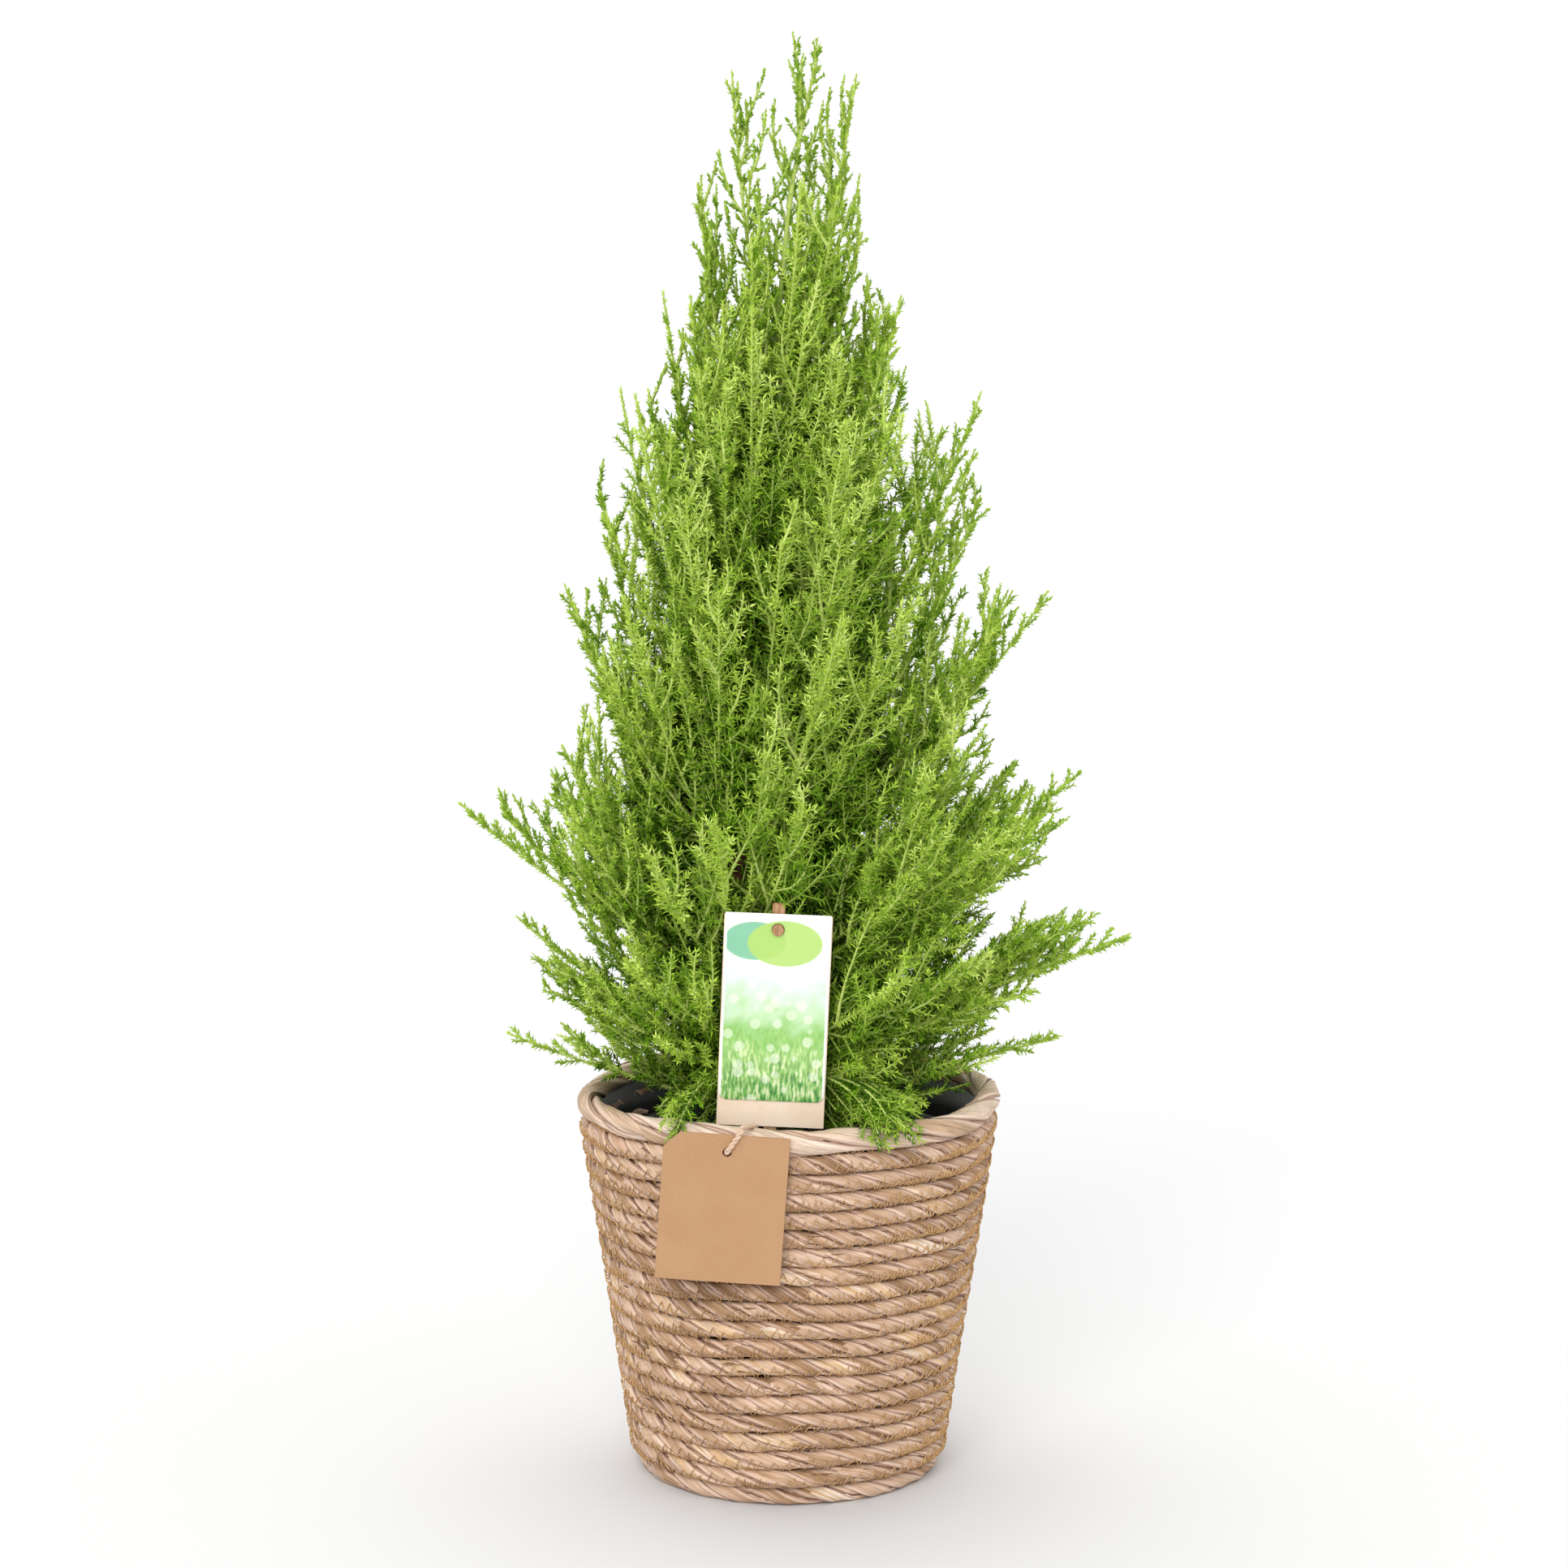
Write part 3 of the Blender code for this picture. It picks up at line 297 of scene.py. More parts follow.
def print_material():
    """Coated card with a plain soft garden print: pale light above, blurred grass below, round
    out-of-focus lights, and two overlapping washes of green at the top, in a white border."""
    material, tree, shader = new_material("printed_card", 0.32, 1.5)
    coords = add_node(tree, "TexCoord", out="Object")
    on_card = add_node(tree, "Mapping", {
        "Vector": coords, "Location": tuple(CARD_TOP), "Rotation": (CARD_LEAN, CARD_TILT, 0.0)},
        vector_type="TEXTURE")
    split = add_node(tree, "SeparateXYZ", {"Vector": on_card}).node.outputs
    down = add_node(tree, "Math", {0: split["Z"], 1: -1.0 / CARD_HEIGHT}, operation="MULTIPLY")
    blur = add_node(tree, "TexNoise", {"Vector": on_card, "Scale": 85.0, "Detail": 2.0})
    wander_down = add_node(tree, "Math", {0: blur, 1: 0.34, 2: -0.17}, operation="MULTIPLY_ADD")
    level = add_node(tree, "Math", {0: down, 1: wander_down}, operation="ADD")
    garden = add_node(tree, "ValToRGB", {"Fac": level}, stops=(
        (0.10, "#f6faf4"), (0.36, "#dff0e6"), (0.52, "#c3e2b4"), (0.66, "#8fc665"),
        (0.82, "#b8d98a"), (0.97, "#4f9a4a")))
    squeezed = add_node(tree, "Mapping", {"Vector": on_card, "Scale": (700.0, 700.0, 190.0)})
    blades = add_node(tree, "TexNoise", {"Vector": squeezed, "Scale": 1.0, "Detail": 3.0})
    grass = add_node(tree, "ValToRGB", {"Fac": blades}, stops=(
        (0.36, "#2f7a33"), (0.5, "#86c25a"), (0.64, "#f0f6c8")))
    low = add_node(tree, "MapRange", {
        "Value": level, "From Min": 0.62, "From Max": 0.86, "To Min": 0.0, "To Max": 0.75})
    picture = add_node(tree, "Mix", {0: low, 6: garden, 7: grass}, 2, data_type="RGBA")
    cells = add_node(tree, "TexVoronoi", {
        "Vector": on_card, "Scale": 120.0, "Randomness": 0.9}, "Distance")
    glow = add_node(tree, "MapRange", {
        "Value": cells, "From Min": 0.30, "From Max": 0.38, "To Min": 0.45, "To Max": 0.0})
    last = add_node(tree, "Mix", {0: glow, 6: picture, 7: linear("#f4fbe6")}, 2,
                    data_type="RGBA")
    for middle, radius, colour in (((-0.012, 0.0, -0.0150), 0.0125, "#74bd96"),
                                   ((0.004, 0.0, -0.0160), 0.0150, "#aed365")):
        away = add_node(tree, "VectorMath", {0: on_card, 1: middle}, operation="SUBTRACT")
        flat = add_node(tree, "VectorMath", {0: away, 1: (0.78, 0.0, 1.25)}, operation="MULTIPLY")
        far = add_node(tree, "VectorMath", {0: flat}, "Value", operation="LENGTH")
        wash = add_node(tree, "MapRange", {
            "Value": far, "From Min": radius, "From Max": radius + 0.0008, "To Min": 0.92,
            "To Max": 0.0})
        last = add_node(tree, "Mix", {0: wash, 6: last, 7: linear(colour)}, 2, data_type="RGBA")
    side = add_node(tree, "Math", {0: split["X"]}, operation="ABSOLUTE")
    border = add_node(tree, "MapRange", {
        "Value": side, "From Min": CARD_WIDTH / 2.0 - 0.0014,
        "From Max": CARD_WIDTH / 2.0 - 0.0011, "To Min": 0.0, "To Max": 1.0})
    edged = add_node(tree, "Mix", {0: border, 6: last, 7: linear("#f7f7f2")}, 2,
                     data_type="RGBA")
    tree.links.new(edged, shader.inputs["Base Color"])
    shader.inputs["Coat Weight"].default_value = 0.25
    shader.inputs["Coat Roughness"].default_value = 0.2
    return material


def plastic_material():
    """Thermoformed black polypropylene: thin, a dull satin with faint flow marks."""
    material, tree, shader = new_material("black_plastic", 0.42, 1.49)
    shader.inputs["Base Color"].default_value = linear("#141414")
    coords = add_node(tree, "TexCoord", out="Object")
    marks = add_node(tree, "TexNoise", {"Vector": coords, "Scale": 300.0, "Detail": 3.0})
    relief = add_node(tree, "Bump", {"Height": marks, "Strength": 0.12, "Distance": 0.0005})
    tree.links.new(relief, shader.inputs["Normal"])
    return material


def soil_material():
    """Moist peat mix: dark crumbs of one to four millimetres, with paler bark bits."""
    material, tree, shader = new_material("potting_soil", 0.95, 1.4)
    coords = add_node(tree, "TexCoord", out="Object")
    crumbs = add_node(tree, "TexVoronoi", {"Vector": coords, "Scale": 420.0}).node.outputs
    colour = add_node(tree, "ValToRGB", {"Fac": crumbs["Color"]}, stops=(
        (0.0, "#17100b"), (0.6, "#33251a"), (0.93, "#5b4330")))
    tree.links.new(colour, shader.inputs["Base Color"])
    relief = add_node(tree, "Bump", {"Height": crumbs["Distance"], "Strength": 0.8, "Distance": 0.002})
    tree.links.new(relief, shader.inputs["Normal"])
    return material


# Meshes from arrays

def add_piece(name, mesh, material):
    """A piece on the body, from its mesh."""
    mesh.materials.append(material)
    obj = bpy.data.objects.new(name, mesh)
    bpy.context.scene.collection.objects.link(obj)
    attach(obj, BODY)
    return obj


def mesh_piece(name, vertices, faces, material, smooth=True):
    """A piece on the body, from arrays of points and of triangles or quads."""
    corners = faces.shape[1]
    mesh = bpy.data.meshes.new(name)
    mesh.vertices.add(len(vertices))
    mesh.vertices.foreach_set("co", np.ascontiguousarray(vertices, np.float32).ravel())
    mesh.loops.add(faces.size)
    mesh.loops.foreach_set("vertex_index", np.ascontiguousarray(faces, np.int32).ravel())
    mesh.polygons.add(len(faces))
    mesh.polygons.foreach_set("loop_start", np.arange(0, faces.size, corners, dtype=np.int32))
    mesh.polygons.foreach_set("use_smooth", np.full(len(faces), smooth, bool))
    mesh.update(calc_edges=True)
    mesh.validate()
    return add_piece(name, mesh, material)


def unit(vectors):
    """The same directions, one long."""
    return vectors / np.maximum(np.linalg.norm(vectors, axis=-1, keepdims=True), 1e-12)


def square_to(vectors):
    """A direction square to each of the vectors."""
    helper = np.where(np.abs(vectors[..., 2:3]) < 0.9, UP, np.array((1.0, 0.0, 0.0)))
    return unit(np.cross(vectors, helper))


def way_along(path):
    """How far along its path each of the points is."""
    return np.concatenate(((0.0,), np.cumsum(np.linalg.norm(np.diff(path, axis=0), axis=1))))


def ring_quads(rows, sides):
    """Quads between rows of points that each make a ring."""
    here = np.arange(rows - 1)[:, None] * sides + np.arange(sides)
    after = np.arange(rows - 1)[:, None] * sides + (np.arange(sides) + 1) % sides
    return np.stack((here, after, after + sides, here + sides), axis=-1).reshape(-1, 4)


def tubes(points, radii, sides, reference=None):
    """Tubes through rows of points: (tubes, points, 3) and (tubes, points). Their corners start
    from the reference direction, where one is given. Returns points and quads."""
    count, length, _ = points.shape
    tangents = unit(np.gradient(points, axis=1))
    if reference is None:
        reference = square_to(unit(points[:, -1] - points[:, 0]))[:, None, :]
    across = unit(reference - tangents * (reference * tangents).sum(-1, keepdims=True))
    over = np.cross(tangents, across)
    turns = np.arange(sides) * 2.0 * math.pi / sides
    ring = (np.cos(turns)[None, None, :, None] * across[:, :, None, :]
            + np.sin(turns)[None, None, :, None] * over[:, :, None, :])
    vertices = points[:, :, None, :] + radii[:, :, None, None] * ring
    first = np.arange(count)[:, None, None] * length * sides
    return vertices.reshape(-1, 3), (first + ring_quads(length, sides)).reshape(-1, 4)


def joined(parts):
    """One set of points and faces from several."""
    vertices, faces, base = [], [], 0
    for points, corners in parts:
        vertices.append(points)
        faces.append(corners + base)
        base += len(points)
    return np.concatenate(vertices), np.concatenate(faces)


# The trunk and the plumes, by the rule of the solids

def trunk_curve(height):
    """The trunk's middle and radius at a height."""
    share = (height - SOIL_TOP) / (TRUNK_TOP - SOIL_TOP)
    bow = TRUNK_BOW * math.sin(math.pi * share ** TRUNK_BOW_PEAK)
    radius = TRUNK_BASE_RADIUS + (TRUNK_TIP_RADIUS - TRUNK_BASE_RADIUS) * share ** 0.8
    flare = max(0.0, 1.0 - (height - SOIL_TOP) / TRUNK_FLARE_HEIGHT)
    middle = Vector((TRUNK_LEAN * (1.0 - share) - bow, 0.0, height))
    return middle, radius + TRUNK_FLARE * flare * flare


def trunk_rings():
    """Middles and radii of the rings that the solid trunk has."""
    foot = SOIL_TOP + GAP
    heights = [foot, foot + TRUNK_FLARE_HEIGHT / 3.0, foot + TRUNK_FLARE_HEIGHT]
    rest = TRUNK_RINGS - len(heights)
    heights += [heights[-1] + (TRUNK_TOP - heights[-1]) * k / rest for k in range(1, rest + 1)]
    return [trunk_curve(height) for height in heights]


TRUNK = trunk_rings()


def trunk_at(height):
    """Middle, direction and radius of the trunk at a height."""
    height = max(TRUNK[0][0].z, min(TRUNK_TOP, height))
    for (low, low_radius), (high, high_radius) in zip(TRUNK, TRUNK[1:]):
        if height <= high.z:
            break
    share = (height - low.z) / (high.z - low.z)
    radius = low_radius + (high_radius - low_radius) * share
    return low.lerp(high, share), (high - low).normalized(), radius


class Plume:
    """One branch of the crown: the way of its stem from the trunk to its tip."""

    def __init__(self, tier, name, start, elbow, tip, angle, seed):
        self.tier = tier
        self.name = name
        self.start, self.elbow, self.tip = start, elbow, tip
        self.angle = angle
        self.seed = seed

    def at(self, share):
        rest = 1.0 - share
        return np.array(rest * rest * self.start + 2.0 * rest * share * self.elbow
                        + share * share * self.tip)

    def path(self, begin, end, points):
        return np.array([self.at(begin + (end - begin) * k / (points - 1))
                         for k in range(points)])

    def side_limb(self, rng, turn, drop):
        """A limb that forks from this one low down and fills the space beside and under it."""
        start = Vector(self.at(rng.uniform(0.05, 0.16)))
        tip = Matrix.Rotation(turn, 3, "Z") @ self.tip
        tip.z -= drop
        reach = rng.uniform(0.85, 0.97) / crown_share(tip)
        tip.x *= reach
        tip.y *= reach
        elbow = start.lerp(tip, ELBOW_REACH)
        elbow.z = max(self.elbow.z - 0.6 * drop, start.z + 0.35 * (tip.z - start.z))
        return Plume(self.tier, f"{self.name}_fork", start, elbow, tip,
                     self.angle + turn, self.seed + 1000 + int(1000.0 * rng.random()))


def tier_reach(turn, right, left, depth):
    """How far a tier reaches in one direction."""
    sideways = right if math.cos(turn) > 0.0 else left
    return sideways * math.cos(turn) ** 2 + depth * math.sin(turn) ** 2


def branch_start(height, outward):
    """Where a limb leaves the trunk."""
    middle, up, radius = trunk_at(height)
    facing = (outward - up * outward.dot(up)).normalized()
    facet = 2.0 * math.pi / TRUNK_SIDES
    off_corner = (math.atan2(outward.y, outward.x) + facet / 2.0) % facet - facet / 2.0
    return middle + facing * (radius * math.cos(off_corner) + GAP)


def crown_plumes():
    """Every plume of the crown, tier by tier, with the leader last."""
    plumes = []
    for tier, row in enumerate(TIERS):
        name, low, high, right, left, depth, turn, count, rise = row
        for k in range(count):
            seed = 100 * (tier + 1) + k
            rng = random.Random(seed)
            angle = turn + 360.0 * k / count
            loose = abs(math.sin(math.radians(angle)))
            angle = math.radians(angle + loose * rng.uniform(-TURN_JITTER, TURN_JITTER))
            reach = tier_reach(angle, right, left, depth)
            reach *= 1.0 + loose * rng.uniform(-REACH_JITTER, REACH_JITTER)
            height = high + loose * rng.uniform(-HEIGHT_JITTER, HEIGHT_JITTER)
            outward = Vector((math.cos(angle), math.sin(angle), 0.0))
            low_here = low + rng.uniform(-HEIGHT_JITTER, HEIGHT_JITTER) / 2.0
            start = branch_start(low_here, outward)
            droops = name == "foot" and abs(outward.x) < 0.7 and outward.y < 0.0
            if droops:
                reach, height = DROOP_REACH, DROOP_TIP_HEIGHT
            tip = Vector((reach * outward.x, reach * outward.y, height))
            elbow = start.lerp(tip, ELBOW_REACH)
            elbow.z = start.z + rise * (tip.z - start.z)
            if droops:
                elbow.z = BASKET_HEIGHT + 2.6 * RIM_CLEAR
            plumes.append(Plume(name, f"{name}_{k + 1}", start, elbow, tip, angle, seed))
    middle, up, _ = trunk_at(TRUNK_TOP)
    start = middle + up * GAP
    elbow = start.lerp(LEADER_TOP, 0.5) + Vector((-0.002, 0.0, 0.0))
    plumes.append(Plume("leader", "leader", start, elbow, LEADER_TOP, 0.0, 99))
    return plumes


# Foliage: plumes, side branches, shoots and needles

# Needle tones from the deep inside to the fresh tips, each a pair that patches vary between. The
# darker tones are partly painted shade for the crown's inside and hollows, and the lighter ones are
# partly painted light on its outside and top
NEEDLE_TONES = (
    ("deep", "#1f3a08", "#2c4d0a"),
    ("shade", "#3f690d", "#527d13"),
    ("body", "#719c20", "#82aa2b"),
    ("fresh", "#96b83a", "#a7c547"),
    ("bright", "#b0ce4a", "#bfd95c"),
    ("tip", "#c6de68", "#d4e683"),
)
# How scale-like the ends of each tier's plumes are, from feathery at 0 to knotty at 1, how much
# the feathers on them turn upwards, how far apart the feathers start and how long they get
HABIT = {
    "leader": (1.0, 0.5, 0.0080, 0.050), "spire": (1.0, 0.55, 0.0085, 0.060),
    "top": (0.9, 0.60, 0.0105, 0.070), "upper": (0.65, 0.56, 0.0135, 0.074),
    "shoulder": (0.4, 0.52, 0.0135, 0.074), "middle": (0.3, 0.44, 0.0120, 0.078),
    "skirt": (0.3, 0.38, 0.0100, 0.084), "lower": (0.25, 0.34, 0.0100, 0.082),
    "foot": (0.1, 0.20, 0.0105, 0.076),
}
# Needles: number to the metre, length, width and degrees off the twig where it is knotty, each
# with what a feathery twig adds
NEEDLE_COUNT = (1900.0, -520.0)
NEEDLE_LENGTH = (0.0024, 0.0029)
NEEDLE_WIDTH = (0.00112, -0.00014)
NEEDLE_SLANT = (24.0, 40.0)
# Shoots: distance apart, greatest length, and length as a share of the feather's and a bit more
SHOOT_SPACING = 0.0062
SHOOT_LONGEST = 0.023
SHOOT_SHARE = 0.21
SHOOT_MORE = 0.0045
SHOOT_RADIUS = 0.00075
FEATHER_RADIUS = 0.00115
INNER_RADIUS = 0.00090
TWIG_TIP_RADIUS = 0.00045
# Feathers straight on the trunk: their number, where they start and over which height, lengths
INNER_FEATHERS = 220
INNER_FOOT = 0.215
INNER_RISE = 0.40
INNER_LENGTH = (0.065, 0.112)
# What makes a shoot's tone: a start, and what it gains by how far out in the crown it is, how far
# along its plume, how near its feather's tip, and by its feather's luck. These gains are partly
# painted light and shade, darker in the crown's middle and hollows and lighter at its outside, and
# partly the fresher colour of new growth at the ends
TONE_START = -0.18
TONE_OUT = 0.34
TONE_PART = 0.22
TONE_TIP = 0.24
TONE_LUCK = 0.38
# Heights where the crown starts to gain light and over which it does, below which the rim's shade
# lies on it, and above which it is never deep, with what the light adds and the shade takes
LIGHT_FROM = 0.38
LIGHT_OVER = 0.14
LIGHT_GAIN = 0.10
SHADE_BELOW = 0.235
SHADE_LOSS = 0.16
FRESH_ABOVE = 0.60
# Above this height knotty shoots can be fresh, and below it most stay a darker green, partly painted
# shade for the little light that reaches them
KNOTTY_TOP = 0.56
# Sprays that hang over the front of the rim, by their direction in degrees
DROOPS = (-59.0, -61.5, -63.0, -65.5, -67.0, -69.5, -117.5, -121.0)
# Height on the trunk where those set off, and how far out from the pot's middle they bend and end
DROOP_START = 0.215
DROOP_ELBOW_OUT = 0.100
DROOP_TIP_OUT = 0.1215
# Side limbs, for which tiers and whether only for plumes that point left or right: turn to the
# side as a share of a third of a circle over the tier's number, and the least and greatest drop
# as shares of the way down to the next tier
FORKS = (
    (("top", "upper", "shoulder", "middle", "skirt", "lower", "foot"), False,
     ((-1.0, 0.45, 0.70), (1.0, -0.05, 0.25))),
    (("shoulder", "middle", "skirt"), False, ((0.35, -0.50, -0.30),)),
    (("skirt", "lower"), True, ((0.50, 0.15, 0.35), (-0.45, -0.35, -0.10), (0.12, 0.55, 0.85))),
    (("middle", "skirt"), True, ((-0.70, 0.10, 0.40),)),
)
# Reach of the crown to the left and right at its heights
CROWN = (
    (0.205, 0.113, 0.113), (0.230, 0.125, 0.128), (0.250, 0.150, 0.142), (0.285, 0.150, 0.155),
    (0.303, 0.140, 0.184), (0.322, 0.130, 0.146), (0.350, 0.150, 0.168), (0.374, 0.171, 0.166),
    (0.400, 0.130, 0.134), (0.445, 0.122, 0.131), (0.480, 0.120, 0.136), (0.515, 0.108, 0.106),
    (0.550, 0.108, 0.107), (0.570, 0.098, 0.110), (0.603, 0.074, 0.092), (0.637, 0.062, 0.058),
    (0.672, 0.056, 0.043), (0.706, 0.051, 0.041), (0.740, 0.040, 0.039), (0.765, 0.028, 0.034),
    (0.782, 0.010, 0.022))
# The crown's depth, as a share of its mean reach
CROWN_DEPTH = 0.86
# How far foliage keeps off the rim's coil, the wall, the pot's side, its lip and the card, and how
# far behind the card it starts to
OFF_RIM = 0.0018
OFF_WALL = 0.003
OFF_POT = 0.006
OFF_LIP = 0.004
OFF_CARD = 0.006
BEHIND_CARD = 0.012
# The gap in the foliage before the trunk, above the card
TRUNK_GAP_MIDDLE = -0.0266
TRUNK_GAP_HALF = 0.0047
TRUNK_GAP_LOW = 0.334
TRUNK_GAP_HIGH = 0.361
TRUNK_GAP_BACK = -0.004
# Heights on the trunk between which no feather starts towards the front, so that it shows
GAP_CLEAR_LOW = 0.32
GAP_CLEAR_HIGH = 0.365


def in_basket(point):
    """Whether a point is too near the rim, or in the wall or the pot."""
    radius = math.hypot(point[0], point[1])
    if math.hypot(radius - RIM_RING, point[2] - RIM_MIDDLE) < RIM_COIL / 2.0 + OFF_RIM:
        return True
    if point[2] < RIM_MIDDLE and radius > POT_TOP_RADIUS:
        return radius < wall_radius(point[2]) + OFF_WALL
    return radius < POT_TOP_RADIUS + OFF_POT and point[2] < POT_LIP_HEIGHT + OFF_LIP


def before_card(point):
    """Whether a point is in or before the card and its stick."""
    beside = abs(point[0] - CARD_TOP.x) < CARD_WIDTH / 2.0 + OFF_CARD
    below = point[2] < CARD_TOP.z + OFF_CARD
    return beside and below and point[1] < CARD_TOP.y + BEHIND_CARD


def before_trunk(point):
    """Whether a point hides the short stretch of trunk that shows through above the card."""
    beside = abs(point[0] - TRUNK_GAP_MIDDLE) < TRUNK_GAP_HALF
    return beside and TRUNK_GAP_LOW < point[2] < TRUNK_GAP_HIGH and point[1] < TRUNK_GAP_BACK


CROWN_ROWS = np.array(CROWN)


def crown_share(point):
    """How far out in the crown a point is: 0 on its axis and 1 at its outline."""
    away = math.hypot(point[0], point[1])
    if away < 1e-6:
        return 0.0
    left = np.interp(point[2], CROWN_ROWS[:, 0], CROWN_ROWS[:, 1])
    right = np.interp(point[2], CROWN_ROWS[:, 0], CROWN_ROWS[:, 2])
    if point[2] > CROWN_ROWS[-1, 0]:
        return 2.0
    sideways = right if point[0] > 0.0 else left
    share = (point[0] / away) ** 2
    return away / (sideways * share + CROWN_DEPTH * (left + right) / 2.0 * (1.0 - share))


# Most faces in one piece of needles
PIECE_FACES = 190000.0


def by_habit(pair, juvenile):
    """A needle's measure on a twig that is knotty at 0 and feathery at 1."""
    return pair[0] + pair[1] * juvenile


class Foliage:
    """Collects needles by tone, and twigs by kind, as rows for the meshes."""

    def __init__(self):
        self.needles = [[] for _ in NEEDLE_TONES]
        self.twigs = {}

    def add_twig(self, kind, path, root, tip, points):
        """Keeps a twig for the meshes, with fewer points and tapered from root to tip."""
        path = path[np.linspace(0, len(path) - 1, points).round().astype(int)]
        radii = np.linspace(root, tip, points)
        self.twigs.setdefault((kind, points), []).append((path, radii))

    def add_needles(self, rng, path, tone, juvenile, begin=0.0, crowd=1.0, size=1.0,
                    fresh_from=2.0):
        """Needles in crossed pairs along a twig, long and spread where it is juvenile and short
        and pressed where it is not, closing to a point at its tip. From fresh_from on they have
        the next lighter tone."""
        way = way_along(path)
        total = way[-1]
        per_metre = by_habit(NEEDLE_COUNT, juvenile) * crowd
        count = max(4, int(total * (1.0 - begin) * per_metre))
        k = np.arange(count)
        share = begin + (1.0 - begin) * ((k // 2) * 2 + 1.0) / count
        share = np.clip(share + rng.normal(0.0, 0.4 / count, count), 0.0, 1.0)
        base, along = (np.stack([np.interp(share * total, way, rows[:, axis])
                                 for axis in range(3)], -1)
                       for rows in (path, unit(np.gradient(path, axis=0))))
        along = unit(along)
        across = square_to(along)
        over = np.cross(along, across)
        turn = (k % 2) * math.pi + (k // 2) * (math.pi / 2.0) + rng.normal(0.0, 0.28, count)
        side = np.cos(turn)[:, None] * across + np.sin(turn)[:, None] * over
        closing = np.clip((share - 0.72) / 0.28, 0.0, 1.0)
        club = (1.0 - juvenile) * np.exp(-((share - 0.86) / 0.10) ** 2)
        knob = (1.0 - juvenile) * np.clip(np.sin(1100.0 * share * total + turn[0]), 0.0, 1.0)
        slant = np.radians(by_habit(NEEDLE_SLANT, juvenile)) * (1.0 - 0.45 * closing) + 0.4 * knob
        slant = slant + rng.normal(0.0, 0.09, count)
        heading = np.cos(slant)[:, None] * along + np.sin(slant)[:, None] * side
        length = size * by_habit(NEEDLE_LENGTH, juvenile) * (1.0 - 0.15 * closing)
        length = length * rng.uniform(0.82, 1.15, count)
        width = size * by_habit(NEEDLE_WIDTH, juvenile) * (1.0 + 0.5 * club + 0.4 * knob)
        roll = rng.uniform(-0.9, 0.9, count)[:, None]
        flat = np.cross(heading, side)
        flat = unit(np.cos(roll) * flat + np.sin(roll) * np.cross(heading, flat))
        rows = np.concatenate((base, heading, flat, side, length[:, None], width[:, None]), 1)
        fresh = share > fresh_from
        self.needles[tone].append(rows[~fresh])
        self.needles[min(len(NEEDLE_TONES) - 1, tone + 1)].append(rows[fresh])

    def build(self, materials, twig_materials):
        for tone, rows in enumerate(self.needles):
            if not rows:
                continue
            rows = np.concatenate(rows)
            parts = max(1, math.ceil(len(rows) * 2 / PIECE_FACES))
            for part, chunk in enumerate(np.array_split(rows, parts)):
                name = f"needles_{NEEDLE_TONES[tone][0]}_{part + 1}"
                vertices, faces = needle_mesh(chunk)
                yield mesh_piece(name, vertices, faces, materials[tone], False)
        for kind in sorted({kind for kind, _ in self.twigs}):
            parts = []
            for (other, _), rows in sorted(self.twigs.items()):
                if other == kind:
                    points = np.stack([path for path, _ in rows])
                    radii = np.stack([radius for _, radius in rows])
                    sides = 6 if kind == "stems" else 3
                    parts.append(tubes(points, radii, sides))
            vertices, quads = joined(parts)
            yield mesh_piece(kind, vertices, quads, twig_materials[kind])


def needle_mesh(rows):
    """Each needle is a narrow leaf folded along its middle: two faces from its base over the
    widest place to its tip, which turns in to the twig a little."""
    base, heading, flat, side = rows[:, 0:3], rows[:, 3:6], rows[:, 6:9], rows[:, 9:12]
    length, width = rows[:, 12:13], rows[:, 13:14]
    keel = np.cross(flat, heading)
    belly = base + heading * length * 0.36 - keel * width * 0.42
    tip = base + heading * length - side * length * 0.09
    vertices = np.stack((base, belly + flat * width * 0.5, tip, belly - flat * width * 0.5), 1)
    first = np.arange(len(rows))[:, None] * 4
    faces = np.concatenate((first + np.array((0, 1, 2)), first + np.array((0, 2, 3))), 0)
    return vertices.reshape(-1, 3), faces


def slanted(along, slant, turn):
    """A direction at an angle to another, turned about it."""
    across = square_to(along)
    over = np.cross(along, across)
    return math.cos(slant) * along + math.sin(slant) * (
        math.cos(turn) * across + math.sin(turn) * over)


def beside(place, along, slant, side, swing):
    """A direction at an angle to a feather's way, to one side of it in the plane that faces out
    of the crown, and swung out of that plane a little."""
    outward = unit(np.array((place[0], place[1], 0.02)))
    sideways = unit(np.cross(outward, along) + 1e-6)
    facing = np.cross(along, sideways)
    across = side * math.cos(swing) * sideways + math.sin(swing) * facing
    return math.cos(slant) * along + math.sin(slant) * across


def bent_path(start, heading, length, lift, points):
    """A path that bends up along its way, or down where its lift is negative."""
    share = np.linspace(0.0, 1.0, points)[:, None]
    return start + heading * length * share + UP * lift * length * share ** 2


def swung_path(start, first, last, length, points):
    """A twig's path that sets off one way and swings round to another."""
    share = np.linspace(0.0, 1.0, points)[:, None]
    middle = start + first * length * 0.40
    end = middle + last * length * 0.62
    return (1.0 - share) ** 2 * start + 2.0 * share * (1.0 - share) * middle + share ** 2 * end


def path_point(path, share):
    """Place and direction on a path."""
    place = share * (len(path) - 1)
    low = min(int(place), len(path) - 2)
    step = path[low + 1] - path[low]
    return path[low] + step * (place - low), unit(step)


def clear_of_rest(path):
    """Whether a twig's middle and tip keep out of the basket, off the card and out of the gap."""
    return not any(in_basket(point) or before_card(point) or before_trunk(point)
                   for point in (path[-1], path[len(path) // 2]))


